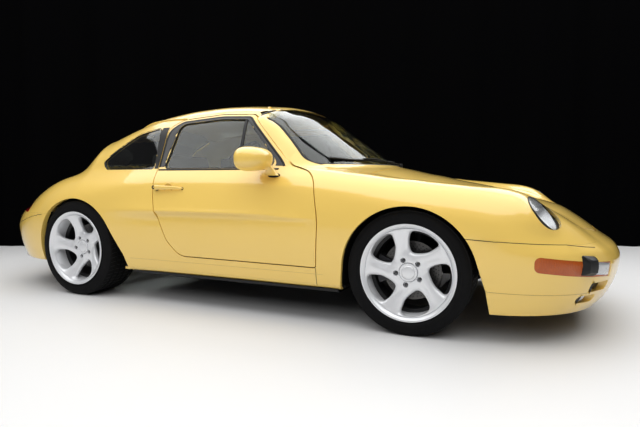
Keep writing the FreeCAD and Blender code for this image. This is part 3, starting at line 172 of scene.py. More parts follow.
creaseShade = Finish("creaseShade", (.50, .34, .09), .5)
dishShade = Finish("dishShade", (.66, .42, .075), .35, Coat_Weight=.6, Coat_Roughness=.1)

silver = Finish("silverLacquer", (.80, .81, .83), .34, Metallic=.35, Coat_Weight=.6, Coat_Roughness=.12)
silver.set("Roughness", silver.noise(60) * .10 + .29)
silver.bump(silver.noise(900, 2), .03, .0003)

# near-black inside of the rim's barrel: painted shade, because the inside of the wheel lies in shadow
drumShade = Finish("barrelInsidePaintedShade", (.010, .010, .011), .6)
drumShade.bump(drumShade.noise(120), .1, .0004)

rubber = Finish("tyreRubber", (.005, .005, .005), .75, Specular_IOR_Level=.12)
rubber.set("Base Color", rubber.mix(rubber.noise(38), (.003, .003, .0033), (.008, .008, .0085)))
rubber.set("Roughness", rubber.noise(25) * .2 + .65)
rubber.bump(rubber.noise(700, 2), .12, .0004)

seal = Finish("sealRubber", (.006, .006, .006), .45, Specular_IOR_Level=.3)
seal.set("Roughness", seal.noise(90) * .15 + .38)
seal.bump(seal.noise(500, 2), .08, .0003)

trim = Finish("blackTrim", (.008, .008, .008), .42, Specular_IOR_Level=.35)
trim.set("Roughness", trim.noise(120) * .12 + .34)
trim.bump(trim.cells(900), .10, .0003)

glassEdge = Finish("blackGlassEdge", (.004, .004, .0045), .07, Specular_IOR_Level=.45)
glassEdge.set("Roughness", glassEdge.noise(12) * .03 + .05)

glass = Finish("tintedGlass", (.74, .80, .77), .0, Transmission_Weight=1.0, IOR=1.42)
glass.set("Roughness", glass.noise(3) * .01)

lampGlass = Finish("lampGlass", (.96, .97, .98), .02, Transmission_Weight=1.0, IOR=1.45)
lampGlass.bump(lampGlass.noise(30, 1, (1, 8, 1)), .05, .001)

mirrorMetal = Finish("lampReflector", (.84, .85, .86), .30, Metallic=.45)
mirrorMetal.set("Roughness", mirrorMetal.noise(40) * .08 + .26)

amber = Finish("amberLens", (.80, .22, .02), .25, Coat_Weight=.35, Coat_Roughness=.05)
amber.set("Base Color", amber.mix(amber.noise(20), (.34, .050, .001), (.52, .105, .002)))
amber.bump(amber.ribs(55.0), .5, .002)

red = Finish("redLens", (.42, .012, .010), .16, Coat_Weight=1.0, Coat_Roughness=.03)
red.set("Base Color", red.mix(red.noise(16), (.30, .006, .006), (.50, .018, .014)))
red.bump(red.ribs(60.0), .5, .002)

clearLens = Finish("clearLens", (.55, .56, .57), .12, Metallic=.4, Coat_Weight=1.0, Coat_Roughness=.03)
clearLens.bump(clearLens.ribs(50.0), .6, .002)

leather = Finish("blackLeather", (.020, .020, .021), .42)
leather.set("Roughness", leather.noise(30) * .18 + .34)
leather.bump(leather.cells(420), .25, .0006)

underseal = Finish("underseal", (.008, .008, .008), .72, Specular_IOR_Level=.3)
underseal.set("Roughness", underseal.noise(45) * .25 + .58)
underseal.bump(underseal.noise(210), .45, .0012)

darkSteel = Finish("darkSteel", (.055, .055, .06), .42, Metallic=.6)
darkSteel.set("Roughness", darkSteel.noise(70) * .25 + .32)
darkSteel.bump(darkSteel.noise(300), .15, .0005)

alloy = Finish("castAlloy", (.36, .36, .37), .45, Metallic=.9)
alloy.set("Roughness", alloy.noise(50) * .2 + .38)
alloy.bump(alloy.noise(260), .3, .0008)

pipeSteel = Finish("pipeSteel", (.52, .50, .48), .22, Metallic=1.0)
pipeSteel.set("Roughness", pipeSteel.noise(60, 3, (.1, 1, 1)) * .2 + .15)

# the discs have fine turning marks, rings about the nearer axle
iron = Finish("discIron", (.10, .097, .094), .38, Metallic=.8)
spot = iron.place()
discX = iron.add("ShaderNodeSeparateXYZ", {}, {0: spot}, 0)
discZ = iron.add("ShaderNodeSeparateXYZ", {}, {0: spot}, 2)
toFront, toRear = [((discX - end["x"]) ** 2.0 + (discZ - end["z"]) ** 2.0) ** .5 for end in axles.values()]
marks = (toFront.least(toRear) * 9000.0).math("SINE")
iron.set("Roughness", marks * .06 + .30)
iron.bump(marks, .10, .0002)

boltSteel = Finish("boltSteel", (.10, .10, .105), .35, Metallic=.9)
boltSteel.set("Roughness", boltSteel.noise(150) * .2 + .25)

floorFinish = Finish("studioFloor", (.72, .72, .72), .55)
floorFinish.set("Roughness", floorFinish.noise(.8) * .1 + .5)
curtain = Finish("blackCurtain", (.0016, .0016, .0018), .95, Specular_IOR_Level=.0)
print("finishes made")

# finishes of the CAD nodes by the start of their names; every other node is painted
dressing = {"tyre": rubber, "seats": leather, "rim": silver, "brake_disc": iron, "front_suspension": darkSteel,
            "rear_suspension": darkSteel, "knuckle": darkSteel, "door_glass": glass, "windscreen": glass,
            "rear_window": glass, "quarter_windows": glass, "headlamps": lampGlass, "front_turn_lamps": amber,
            "tail_lamps": red, "bumper_grille": trim, "lid_grille": trim, "dashboard": leather,
            "steering_wheel": leather, "floor_pan": underseal, "engine_block": alloy, "exhaust": pipeSteel}
for name, node in nodes.items():
    made = next((dressing[start] for start in dressing if name.startswith(start)), paint)
    node.data.materials.clear()
    node.data.materials.append(made.material)
print("nodes dressed")


def newThing(name, mesh):
    thing = bpy.data.objects.new(name, mesh)
    scene.collection.objects.link(thing)
    return thing


def plainMesh(name, verts, faces):
    mesh = bpy.data.meshes.new(name)
    mesh.from_pydata([tuple(v) for v in verts], [], faces)
    return mesh


def rawThing(name, verts, faces, angle=40):
    # merged, with its normals outwards and edges sharper than the angle kept sharp
    mesh = plainMesh(name, verts, faces)
    work = bmesh.new()
    work.from_mesh(mesh)
    bmesh.ops.remove_doubles(work, verts=work.verts, dist=1e-6)
    bmesh.ops.recalc_face_normals(work, faces=work.faces)
    work.to_mesh(mesh)
    work.free()
    mesh.shade_smooth()
    mesh.set_sharp_from_angle(angle=math.radians(angle))
    return newThing(name, mesh)


def piece(name, verts, faces, made, body, slot, angle):
    thing = rawThing(name, verts, faces, angle)
    thing.data.materials.append(made.material)
    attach(thing, body)
    return thing


def span(first, last, count):
    # evenly spaced values from first to last
    return [first + (last - first) * k / (count - 1) for k in range(count)]


def circle(steps, twist=0):
    return [2 * math.pi * k / steps + twist for k in range(steps)]


def grid(rows, closeRows=False, closeRow=False):
    # faces between rows of points that are equally long
    count = len(rows[0])
    faces = []
    for i in range(len(rows) if closeRows else len(rows) - 1):
        j = (i + 1) % len(rows)
        for k in range(count if closeRow else count - 1):
            m = (k + 1) % count
            faces.append((i * count + k, i * count + m, j * count + m, j * count + k))
    return [p for row in rows for p in row], faces


def capped(rows):
    # a tube through closed rows, with both ends shut
    verts, faces = grid(rows, False, True)
    width = len(rows[0])
    return verts, faces + [tuple(range(width))[::-1], tuple(range(len(verts) - width, len(verts)))]


def together(*parts):
    verts, faces = [], []
    for points, polygons in parts:
        start = len(verts)
        verts += points
        faces += [tuple(start + i for i in polygon) for polygon in polygons]
    return verts, faces


def skinTree(*names):
    meshes = [nodes[name].data for name in names]
    return BVHTree.FromPolygons(*together(*[([v.co.copy() for v in mesh.vertices],
                                             [tuple(p.vertices) for p in mesh.polygons]) for mesh in meshes]))


def even(fine, count, closed=False):
    # evenly spaced points along a fine line
    lengths = [0.0]
    for a, b in zip(fine, fine[1:]):
        lengths.append(lengths[-1] + (b - a).length)
    found, k = [], 0
    for i in range(count):
        want = lengths[-1] * i / (count if closed else count - 1)
        while k < len(fine) - 2 and lengths[k + 1] < want:
            k += 1
        gap = lengths[k + 1] - lengths[k]
        share = 0 if gap < 1e-12 else (want - lengths[k]) / gap
        found.append(fine[k].lerp(fine[k + 1], min(max(share, 0), 1)))
    return found


def smooth(points, count, closed=False):
    # evenly spaced points of a Catmull-Rom curve through the given ones
    number = len(points)
    fine = []
    for i in range(number if closed else number - 1):
        p0 = points[(i - 1) % number] if closed or i else points[0] * 2 - points[1]
        p1, p2 = points[i], points[(i + 1) % number]
        p3 = points[(i + 2) % number] if closed or i + 2 < number else points[-1] * 2 - points[-2]
        for k in range(12):
            t = k / 12
            fine.append(((p1 * 2) + (p2 - p0) * t + (p0 * 2 - p1 * 5 + p2 * 4 - p3) * t * t
                         + (p1 * 3 - p0 - p2 * 3 + p3) * t ** 3) * .5)
    fine.append(points[0].copy() if closed else points[-1].copy())
    return even(fine, count, closed)


def lathe(profile, steps, put):
    # a closed profile of (radius, height) turned about an axis; put places (radius, angle, height)
    return grid([[put(r, angle, h) for r, h in profile] for angle in circle(steps)], True, True)


def sweep(path, shape, normals, closed=False):
    # a closed section of (across, off) points along a path that lies on a skin with normals
    rows = []
    count = len(path)
    for i, (point, normal) in enumerate(zip(path, normals)):
        before = path[i - 1] if closed or i else path[0]
        after = path[(i + 1) % count] if closed or i + 1 < count else path[-1]
        ahead = (after - before).normalized()
        side = ahead.cross(normal).normalized()
        off = side.cross(ahead).normalized()
        rows.append([point + side * a + off * b for a, b in shape])
    return grid(rows, True, True) if closed else capped(rows)


def onSkin(tree, starts, direction, lift=0.0):
    # points and normals where rays meet a skin; a ray that misses or jumps takes its neighbour's depth
    jump = .03
    points, normals = [], []
    last = None
    for start in starts:
        hit, normal, _, _ = tree.ray_cast(start, direction)
        if hit is not None and last is not None and abs((hit - start).length - last) > jump:
            hit = None
        if hit is not None:
            last = (hit - start).length
            if normal.dot(direction) > 0:
                normal = -normal
        elif last is None:
            hit, normal = tree.find_nearest(start)[:2]
        else:
            hit = start + direction * last
            normal = normals[-1]
        points.append(hit + normal * lift)
        normals.append(normal)
    return points, normals


def roundedLoop(outline, radii, grow):
    # closed outline with rounded corners as 2-D points, moved outwards by grow
    perCorner, perSide = 9, 20
    outline = [Vector(c) for c in outline]
    count = len(outline)
    area = sum(a.x * b.y - b.x * a.y for a, b in zip(outline, outline[1:] + outline[:1]))
    turn = 1 if area > 0 else -1
    moved = []
    for i, corner in enumerate(outline):
        a = (corner - outline[i - 1]).normalized()
        b = (outline[(i + 1) % count] - corner).normalized()
        m = (Vector((a.y, -a.x)) + Vector((b.y, -b.x))) * turn
        moved.append(corner + m * (2 * grow / m.dot(m)))
    bends = []
    for i, corner in enumerate(moved):
        back, ahead = moved[i - 1] - corner, moved[(i + 1) % count] - corner
        half = back.angle(ahead) / 2
        reach = min(max(radii[i] + grow, .0005) / math.tan(half), .45 * back.length, .45 * ahead.length)
        bends.append((corner + back.normalized() * reach, corner, corner + ahead.normalized() * reach))
    points = []
    for i, (first, corner, last) in enumerate(bends):
        for k in range(perCorner):
            t = k / perCorner
            points.append(first * (1 - t) ** 2 + corner * (2 * t * (1 - t)) + last * t * t)
        onward = bends[(i + 1) % count][0]
        points += [last.lerp(onward, k / perSide) for k in range(perSide)]
    return points


def modified(thing, kind, **settings):
    modifier = thing.modifiers.new(kind.lower(), kind)
    for key, value in settings.items():
        setattr(modifier, key, value)
    return modifier


def settled(thing):
    # turns a piece's modifiers into its mesh
    mesh = bpy.data.meshes.new_from_object(thing.evaluated_get(bpy.context.evaluated_depsgraph_get()))
    thing.modifiers.clear()
    thing.data = mesh


def makeRoundTree():
    # copies of a part round an axle across the car; Turned 1 turns each with its place, 0 leaves it upright
    tree = bpy.data.node_groups.new("roundTheAxle", "GeometryNodeTree")
    for name, kind in (("Part", "Geometry"), ("Count", "Int"), ("First", "Float"), ("Step", "Float"),
                       ("Radius", "Float"), ("Turned", "Float"), ("Axle", "Vector"), ("Finish", "Material")):
        tree.interface.new_socket(name, in_out="INPUT", socket_type="NodeSocket" + kind)
    tree.interface.new_socket("Parts", in_out="OUTPUT", socket_type="NodeSocketGeometry")
    graph = Graph(tree)
    given = {socket.name: Sock(graph, socket) for socket in tree.nodes.new("NodeGroupInput").outputs if socket.name}
    angle = graph.add("GeometryNodeInputIndex", {}, {}) * given["Step"] + given["First"]
    spoke = graph.add("ShaderNodeCombineXYZ", {}, {"X": angle.math("SINE"), "Z": angle.math("COSINE")})
    place = graph.add("ShaderNodeVectorMath", {"operation": "MULTIPLY_ADD"},
                      {0: spoke, 1: given["Radius"], 2: given["Axle"]})
    lean = graph.add("ShaderNodeCombineXYZ", {}, {"Y": angle * given["Turned"]})
    copies = graph.add("GeometryNodeInstanceOnPoints", {}, {
        "Points": graph.add("GeometryNodePoints", {}, {"Count": given["Count"], "Position": place}),
        "Instance": given["Part"], "Rotation": graph.add("FunctionNodeEulerToRotation", {}, {0: lean})})
    whole = graph.add("GeometryNodeRealizeInstances", {}, {"Geometry": copies})
    whole = graph.add("GeometryNodeSetMaterial", {}, {"Geometry": whole, "Material": given["Finish"]})
    graph.feed(tree.nodes.new("NodeGroupOutput").inputs[0], whole)
    return tree


roundTree = makeRoundTree()


def aroundAxle(part, made, axle, count, first=0.0, radius=0.0, turned=0.0):
    # the copies as points and faces; the part is given about the axle or, where it stands off it, about its own middle
    thing = newThing("part", plainMesh("part", *part))
    modifier = modified(thing, "NODES", node_group=roundTree)
    values = {"Count": count, "First": first, "Step": 2 * math.pi / count, "Radius": radius, "Turned": turned,
              "Axle": tuple(axle), "Finish": made.material}
    for item in roundTree.interface.items_tree:
        if item.name in values:
            modifier[item.identifier] = values[item.name]
    settled(thing)
    found = [v.co.copy() for v in thing.data.vertices], [tuple(p.vertices) for p in thing.data.polygons]
    bpy.data.objects.remove(thing)
    return found


def turnedPart(profile, steps, sign, twist=0):
    # a small turned part from (radius, height) pairs, its axis across the car
    return grid([[Vector((r * math.sin(a), sign * h, r * math.cos(a))) for a in circle(steps, twist)]
                 for r, h in profile], False, True)


def wheelPoint(end, sign):
    # places (radius, angle, depth); the angle runs clockwise from straight up as seen from the car's right side
    def put(r, angle, depth):
        return Vector((end["x"] + r * math.sin(angle), sign * (end["y"] + depth), end["z"] + r * math.cos(angle)))
    return put


wheel = {
    # a window's outline and its corners in mm and degrees, then the points along its leading side, the rim,
    # the trailing side and the hub
    "window": ((160, 0), (182, 1), (203, 3.5), (214, 10), (219.5, 24), (219, 38), (209, 45.5), (190, 46),
               (170, 45), (150, 43.5), (134, 40), (118, 33), (106, 24), (101, 14), (107, 5.5), (130, .8)),
    "corners": ((107, 5.5), (214, 10), (209, 45.5), (101, 14)),
    "steps": (14, 12, 14, 8),
    "midSpoke": ((56, 46), (95, 49), (110, 53.5), (139, 58), (170, 59.5), (205, 60.5), (226, 61)),  # mm, degrees
    # from the middle of the spokes to the window and down its wall: share of the way, mm behind the face
    "section": ((1, 0), (.80, 0), (.58, -.2), (.38, -1.2), (.22, -3.6), (.10, -8.5), (.03, -15), (0, -21), (0, -34),
                (.25, -38), (1, -36)),
    "backFrom": -30,      # mm: deeper rows of the section are the back, which stays this close to the hub's face
    "spokes": 5, "hubRadius": .046, "rimRadius": .2235, "hubFace": .030, "dishRadius": 74, "dishPower": 1.55,
    "flankDrop": 9, "flankFrom": 100,
    "lugCircle": .065, "lugHole": .0135, "lugTurn": -25, "lugFlare": 1.12, "capRadius": .034,
    "bolt": ((.0001, -.006), (.006, -.0065), (.0085, -.009), (.0088, -.021), (.0001, -.021)), "boltTwist": .3,
}
pitchDegrees = 360 / wheel["spokes"]


def midSpoke(r):
    # angle of the line in the middle of the spoke behind a window
    table = wheel["midSpoke"]
    for (r0, a0), (r1, a1) in zip(table, table[1:]):
        if r <= r1:
            return a0 + (a1 - a0) * max(r - r0, 0) / (r1 - r0)
    return table[-1][1]


def polar(r, angle):
    return Vector((r * math.sin(math.radians(angle)), r * math.cos(math.radians(angle))))


def windowRim():
    number = 400
    fine = smooth([polar(r, a) for r, a in wheel["window"]], number, True)
    marks = []
    for r, a in wheel["corners"]:
        corner = polar(r, a)
        marks.append(min(range(number), key=lambda k: (fine[k] - corner).length))
    rim = []
    for part, steps in enumerate(wheel["steps"]):
        first, last = marks[part], marks[(part + 1) % 4]
        if last <= first:
            last += number
        rim += even([fine[k % number] for k in range(first, last + 1)], steps + 1)[:-1]
    return rim


def sectorBorder():
    # the border of a window's share of the wheel, in the same steps as the window's rim
    hub, rim = wheel["hubRadius"] * 1000, wheel["rimRadius"] * 1000
    lead, over, trail, below = wheel["steps"]
    border = [(r, midSpoke(r) - pitchDegrees) for r in span(hub, rim, lead + 1)[:-1]]
    border += [(rim, midSpoke(rim) - pitchDegrees + a) for a in span(0, pitchDegrees, over + 1)[:-1]]
    border += [(r, midSpoke(r)) for r in span(rim, hub, trail + 1)[:-1]]
    border += [(hub, midSpoke(hub) - a) for a in span(0, pitchDegrees, below + 1)[:-1]]
    return [polar(r, a) for r, a in border]


def wheelSector(end, sign):
    # one window with its share of the spokes: face, edge, wall and back, about the axle
    lead, over, trail, _ = wheel["steps"]
    rimRadius = wheel["rimRadius"] * 1000
    hubFace = (end["offset"] + wheel["hubFace"]) * 1000
    lipFace = (end["half"] - .001) * 1000
    pairs = list(zip(windowRim(), sectorBorder()))
    rows = []
    for share, drop in wheel["section"]:
        row = []
        for i, (p, q) in enumerate(pairs):
            spot = p.lerp(q, share)
            r = spot.length
            climb = min(max((r - wheel["dishRadius"]) / (rimRadius - wheel["dishRadius"]), 0), 1)
            depth = hubFace + (lipFace - hubFace) * climb ** wheel["dishPower"] + drop
            if drop <= wheel["backFrom"]:
                depth = max(hubFace + wheel["backFrom"], depth)
            elif r > wheel["flankFrom"] and (i < lead or i >= lead + over + trail):
                # the spoke's leading flank lies lower than its trailing ridge
                turn = (.5 - abs(share - .5)) * 2
                depth -= wheel["flankDrop"] * turn * math.sin(math.pi * climb ** .8)
            row.append(Vector((spot.x, sign * depth, spot.y)) / 1000)
        rows.append(row)
    verts, faces = grid(rows, True, True)
    # the closing row joins back and front along the border, which is only wanted at the hub and the rim
    count = len(rows[0])
    last = (len(rows) - 1) * count
    return verts, [face for index, face in enumerate(faces) if index < last
                   or lead <= index - last < lead + over or index - last >= lead + over + trail]


def join(target, other):
    # adds another object's mesh to a piece
    work = bmesh.new()
    work.from_mesh(target.data)
    work.from_mesh(other.data)
    work.to_mesh(target.data)
    work.free()
    bpy.data.objects.remove(other)


def makeWheel(place, sign, front):
    end = axles["front" if front else "rear"]
    put = wheelPoint(end, sign)
    face = end["offset"] + wheel["hubFace"]
    lugs = {"count": wheel["spokes"], "first": math.radians(wheel["lugTurn"]), "radius": wheel["lugCircle"]}
    disc = rawThing("wheel_" + place, *aroundAxle(wheelSector(end, sign), silver, put(0, 0, 0), wheel["spokes"],
                                                  turned=1.0))
    modified(disc, "SUBSURF", levels=1, render_levels=1)
    settled(disc)
    hole = wheel["lugHole"]
    cup = turnedPart(((0, -.021), (hole, -.021), (hole, -.002), (hole * wheel["lugFlare"], .004), (0, .004)), 24, sign)
    cutter = rawThing("lugCutter", *aroundAxle(cup, silver, put(0, 0, face), **lugs))
    modified(disc, "BOOLEAN", object=cutter, operation="DIFFERENCE", solver="EXACT")
    settled(disc)
    bpy.data.objects.remove(cutter)
    half = end["half"]
    outerRim = [(.2216, half * .25), (.2225, half - .012), (.2345, half - .0005), (.2405, half + .0010),
                (.2452, half + .0045), (.2464, half + .0075), (.2452, half + .0098), (.2415, half + .0100),
                (.2360, half + .0070), (.2290, half - .002), (.2235, half - .006), (.2180, half - .020)]
    # the barrel's inner part, coloured with the painted shade of drumShade
    drum = [(.2150, half * .30), (.198, half * .20), (.198, -half * .55), (.2120, -half * .88), (.2216, -half - .006),
            (.2452, -half - .007), (.2452, -half), (.2286, -half), (.2250, -half * .60), (.2060, -half * .45),
            (.2060, half * .10)]
    piece("wheel_drum_" + place, *lathe(drum + outerRim[:1], 96, put), drumShade, "wheel_" + place, "wheel_alloy", 30)
    cap, centre = wheel["capRadius"], face + .0015
    capProfile = [(.0005, centre + .0045), (cap * .5, centre + .0040), (cap * .85, centre + .0025),
                  (cap * .94, centre + .0012), (cap, centre - .001), (cap, centre - .02), (.0005, centre - .02)]
    hubRing = [(.0345, face - .028), (.0345, face + .0006), (.036, face + .0012), (.045, face + .0002),
               (.046, face - .002), (.046, face - .028)]
    turned = [lathe(profile, 96, put) for profile in (outerRim + drum[:1], capProfile, hubRing)]
    join(disc, rawThing("ring", *together(*turned), 30))
    disc.data.materials.clear()
    disc.data.materials.append(silver.material)
    disc.data.shade_smooth()
    disc.data.set_sharp_from_angle(angle=math.radians(38))
    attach(disc, "wheel_" + place)
    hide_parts("rim_" + place)
    bolt = turnedPart(wheel["bolt"], 6, sign, wheel["boltTwist"])
    piece("wheel_bolts_" + place, *aroundAxle(bolt, boltSteel, put(0, 0, face), **lugs), boltSteel,
          "wheel_" + place, "dark_steel", 25)


tyre = {
    "flat": .84, "grooves": (.62, .22, -.22, -.62),      # shares of the half width, and of the flat part
    "grooveWidth": .0075, "grooveDepth": .0075,
    # rows of sipes: from and to across the flat part, and the lean round the tyre
    "sipes": ((.66, 1.02, .020), (-1.02, -.66, -.020), (-.18, .18, .012), (.28, .56, -.012), (-.56, -.28, .012)),
    "blocks": 66, "sipeWidth": .0028, "sipeDepth": .006,
}


def makeTyre(place, sign, front):
    end = axles["front" if front else "rear"]
    put = wheelPoint(end, sign)
    half, radius, bead = end["tyre"], end["radius"], end["half"]
    flat = half * tyre["flat"]
    wall = [(.2300, bead - .001), (.2475, bead + .001), (.2500, bead + .006), (.2530, half - .004),
            (.2600, half + .0005), (.2620, half - .0003), (.2700, half + .0012), (.2720, half + .0002),
            (.2850, half - .0006), (.2990, half - .0045), (radius - .010, half - .0105),
            (radius - .0045, flat + .008), (radius - .0012, flat)]
    tread = []
    w, deep = tyre["grooveWidth"] / 2, tyre["grooveDepth"]
    for y in [g * flat for g in tyre["grooves"]]:
        tread += [(radius - .0004, y + w + .001), (radius - deep, y + w * .6), (radius - deep, y - w * .6),
                  (radius - .0004, y - w - .001)]
    inner = [(.2310, -bead * .8), (.2400, -bead * .3), (.2400, bead * .3), (.2310, bead * .8)]
    profile = wall + tread + [(r, -h) for r, h in reversed(wall)] + inner
    made = piece("tyre_road_" + place, *lathe(profile, 144, put), rubber, "wheel_" + place, "tyre_rubber", 30)
    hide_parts("tyre_" + place)
    # sipes: narrow dark wedges let into the shoulders and ribs
    wide = tyre["sipeWidth"] / 2 / radius
    wedges = []
    for y0, y1, lean in tyre["sipes"]:
        box = []
        for y, slant in ((y0 * flat, 0), (y1 * flat, lean)):
            drop = max(abs(y) - flat, 0) * .35
            for turn, lift in ((-wide, 0), (wide, 0), (wide, -tyre["sipeDepth"]), (-wide, -tyre["sipeDepth"])):
                r = radius - .0001 - drop + lift
                box.append(Vector((r * math.sin(turn + slant), sign * y, r * math.cos(turn + slant))))
        wedges.append((box, [(0, 1, 2, 3), (7, 6, 5, 4), (0, 4, 5, 1), (1, 5, 6, 2), (2, 6, 7, 3), (3, 7, 4, 0)]))
    cuts = aroundAxle(together(*wedges), seal, put(0, 0, 0), tyre["blocks"], turned=1.0)
    piece("tyre_sipes_" + place, *cuts, seal, "wheel_" + place, "tyre_rubber", 30)


discHoles = {"turns": 40, "rings": (.112, .124, .137), "stagger": .33, "radius": .0034, "depth": .002,
             "behind": .04775}      # the disc's outer face lies this far behind the wheel's offset


# thin dark discs on the brake disc's face that stand in for its drilled holes: painted shade where the holes lie
def makeDiscHoles(place, sign, front):
    end = axles["front" if front else "rear"]
    middle = wheelPoint(end, sign)(0, 0, end["offset"] - discHoles["behind"])
    radius, depth, turns = discHoles["radius"], discHoles["depth"], discHoles["turns"]
    hole = turnedPart(((.0001, 0), (radius, 0), (radius, -depth), (.0001, -depth)), 10, sign)
    rings = [aroundAxle(hole, trim, middle, turns, 2 * math.pi * j * discHoles["stagger"] / turns, ring)
             for j, ring in enumerate(discHoles["rings"])]
    piece("disc_hole_shades_" + place, *together(*rings), trim, "wheel_" + place, "disc_iron", 25)


for place, sign, front in corners:
    makeWheel(place, sign, front)
    makeTyre(place, sign, front)
    makeDiscHoles(place, sign, front)
print("wheels made")

# the CAD source's outlines that the trim follows, in stations and shares, with the corners' radii
doorShape = ((.219, .243), (.2125, .44), (.232, .629), (.305, .666), (.449, .912), (.55, .921), (.685, .903),
             (.722, .862), (.7175, .656), (.7055, .522), (.688, .433), (.660, .316), (.620, .247))
doorRound = (.008, .35, .10, .04, .04, .3, .06, .05, .3, .5, .5, .12, .09)
doorPane = ((.330, .657), (.462, .889), (.55, .897), (.683, .881), (.700, .657))
doorPaneRound = (.03, .04, .4, .04, .02)
shellTree = skinTree("side_frame_left", "side_frame_right", "roof_panel", "cowl_panel", "front_wing_left",
                     "front_wing_right", "front_bumper", "rear_bumper", "rear_panel", "front_lid", "engine_lid",
                     "headlamps", "tail_lamps", "front_turn_lamps")


def doorLoop(outline, radii, grow=0.0):
    points = [(along(s), up(h)) for s, h in outline]
    return [Vector(p) for p in roundedLoop(points, [up(r) for r in radii], grow)]


def levelled(normals, closed=True):
    for _ in range(4):
        count = len(normals)
        normals = [(normals[i - 1 if closed or i else 0] + n * 2
                    + normals[(i + 1) % count if closed or i + 1 < count else i]).normalized()
                   for i, n in enumerate(normals)]
    return normals


def paneRim(name, side=0, count=160):
    # the rim of a pane's outer face as evenly spaced points, with the pane's normals a little inside of them
    work = bmesh.new()
    work.from_mesh(nodes[name].data)
    bmesh.ops.remove_doubles(work, verts=work.verts, dist=1e-5)
    bmesh.ops.recalc_face_normals(work, faces=work.faces)
    heart = Vector((0, 0, .55))
    mine = [f for f in work.faces if f.calc_center_median().y * side >= 0]
    middle = sum((f.calc_center_median() * f.calc_area() for f in mine), Vector()) / sum(f.calc_area() for f in mine)
    seed = min((f for f in mine if f.normal.dot(f.calc_center_median() - heart) > 0),
               key=lambda f: (f.calc_center_median() - middle).length)
    region, waiting = {seed}, [seed]
    while waiting:
        for e in waiting.pop().edges:
            if len(e.link_faces) == 2 and e.calc_face_angle(0) < .3:
                fresh = [f for f in e.link_faces if f not in region]
                region.update(fresh)
                waiting += fresh
    mates = {}
    for face in region:
        for e in face.edges:
            if sum(f in region for f in e.link_faces) == 1:
                for a, b in (e.verts, reversed(e.verts)):
                    mates.setdefault(a, []).append(b)
    loops = []
    while mates:
        loop = [next(iter(mates))]
        while True:
            onward = [v for v in mates.pop(loop[-1], []) if v in mates]
            if not onward:
                break
            loop.append(onward[0])
        loops.append([v.co.copy() for v in loop])
    work.free()
    loop = max(loops, key=lambda loop: sum((b - a).length for a, b in zip(loop, loop[1:])))
    # faces of a set come in any order, so the rim's start, its highest point, and its direction are fixed here
    first = min(range(len(loop)), key=lambda k: (round(-loop[k].z, 4), round(abs(loop[k].y), 4), tuple(loop[k])))
    loop = loop[first:] + loop[:first]
    if tuple(loop[-1]) > tuple(loop[1]):
        loop = loop[:1] + loop[:0:-1]
    points = even(loop + loop[:1], count, True)
    middle = sum(points, Vector()) / count
    tree = skinTree(name)
    normals = []
    for p in points:
        normal = tree.find_nearest(p.lerp(middle, .03))[1]
        normals.append(normal if normal.dot(p - heart) > 0 else -normal)
    return points, levelled(normals)


seals = {   # over the glass, over the skin, height and depth of the foot, in metres
    "door": (.006, .009, .0075, .004), "quarter": (.005, .013, .0045, .008), "screen": (.007, .014, .005, .008),
}


def ribbon(name, points, normals, size, body):
    # soft seal round a pane
    inner, outer, height, foot = size
    centre = sum(points, Vector()) / len(points)
    i = len(points) // 3
    ahead = (points[(i + 1) % len(points)] - points[i - 1]).normalized()
    turn = 1 if ahead.cross(normals[i]).dot(points[i] - centre) > 0 else -1
    shape = [(-inner, -foot), (-inner, -.001), (-inner + .0015, height * .55), (-inner * .3, height),
             (outer * .5, height), (outer - .001, height * .5), (outer, 0), (outer, -foot)]
    piece(name, *sweep(points, [(a * turn, b) for a, b in shape], normals, True), seal, body, "black_plastic", 40)


def stripe(name, points, normals, width, height, made, body, slot="black_plastic", closed=False, steps=7):
    # strip on a skin: a flat foot a little under it and a round top
    half, sink = width / 2, .0008
    top = [(half * math.cos(a), height * math.sin(a) ** .7) for a in span(0, math.pi, steps)]
    shape = [(half, -sink)] + top + [(-half, -sink)]
    piece(name, *sweep(points, shape, levelled(normals, closed), closed), made, body, slot, 50)


def cover(name, rows, tree, direction, lift, made, body):
    # thin skin over a band of the bodywork, cast from its middle row, with its long edges turned in
    middle = len(rows) // 2
    cast = [[] for _ in rows]
    for column in zip(*rows):
        outwards = onSkin(tree, column[middle:], direction, lift)[0]
        inwards = onSkin(tree, column[middle::-1], direction, lift)[0]
        for row, point in zip(cast, inwards[:0:-1] + outwards):
            row.append(point)
    into = direction.normalized() * .006
    rows = [[p + into for p in cast[0]]] + cast + [[p + into for p in cast[-1]]]
    piece(name, *grid(rows), made, body, "black_plastic", 40)


def between(first, last, count):
    return [[p.lerp(q, k / (count - 1)) for p, q in zip(first, last)] for k in range(count)]


def fromSide(sign):
    # the start of a ray towards one side of the car, from (x, z)
    def put(p):
        return Vector((p[0], sign * 1.2, p[1]))
    return put


doorFrame = {
    "belt": .664,
    "reach": .60, "rearFrom": .74, "rearOver": .12,     # share of the frame that is black, full at the rear
    "lift": .0014, "edgeWidth": .013, "edgeHeight": .0030,
    "ventBar": ((.468, .887), (.458, .66)), "barWidth": .022, "barHeight": .006,
    "moulding": (.336, .714), "mouldingAt": .6525, "mouldingWidth": .012, "mouldingHeight": .0035,
}


def upperFrame(points):
    # the run above the belt, from its front end, which has the larger X
    kept = [p for p in points if p.y > up(doorFrame["belt"])]
    cut = max(range(len(kept)), key=lambda k: (kept[k] - kept[k - 1]).length)
    kept = kept[cut:] + kept[:cut]
    if kept[0].x < kept[-1].x:
        kept.reverse()
    return even(kept, 90)


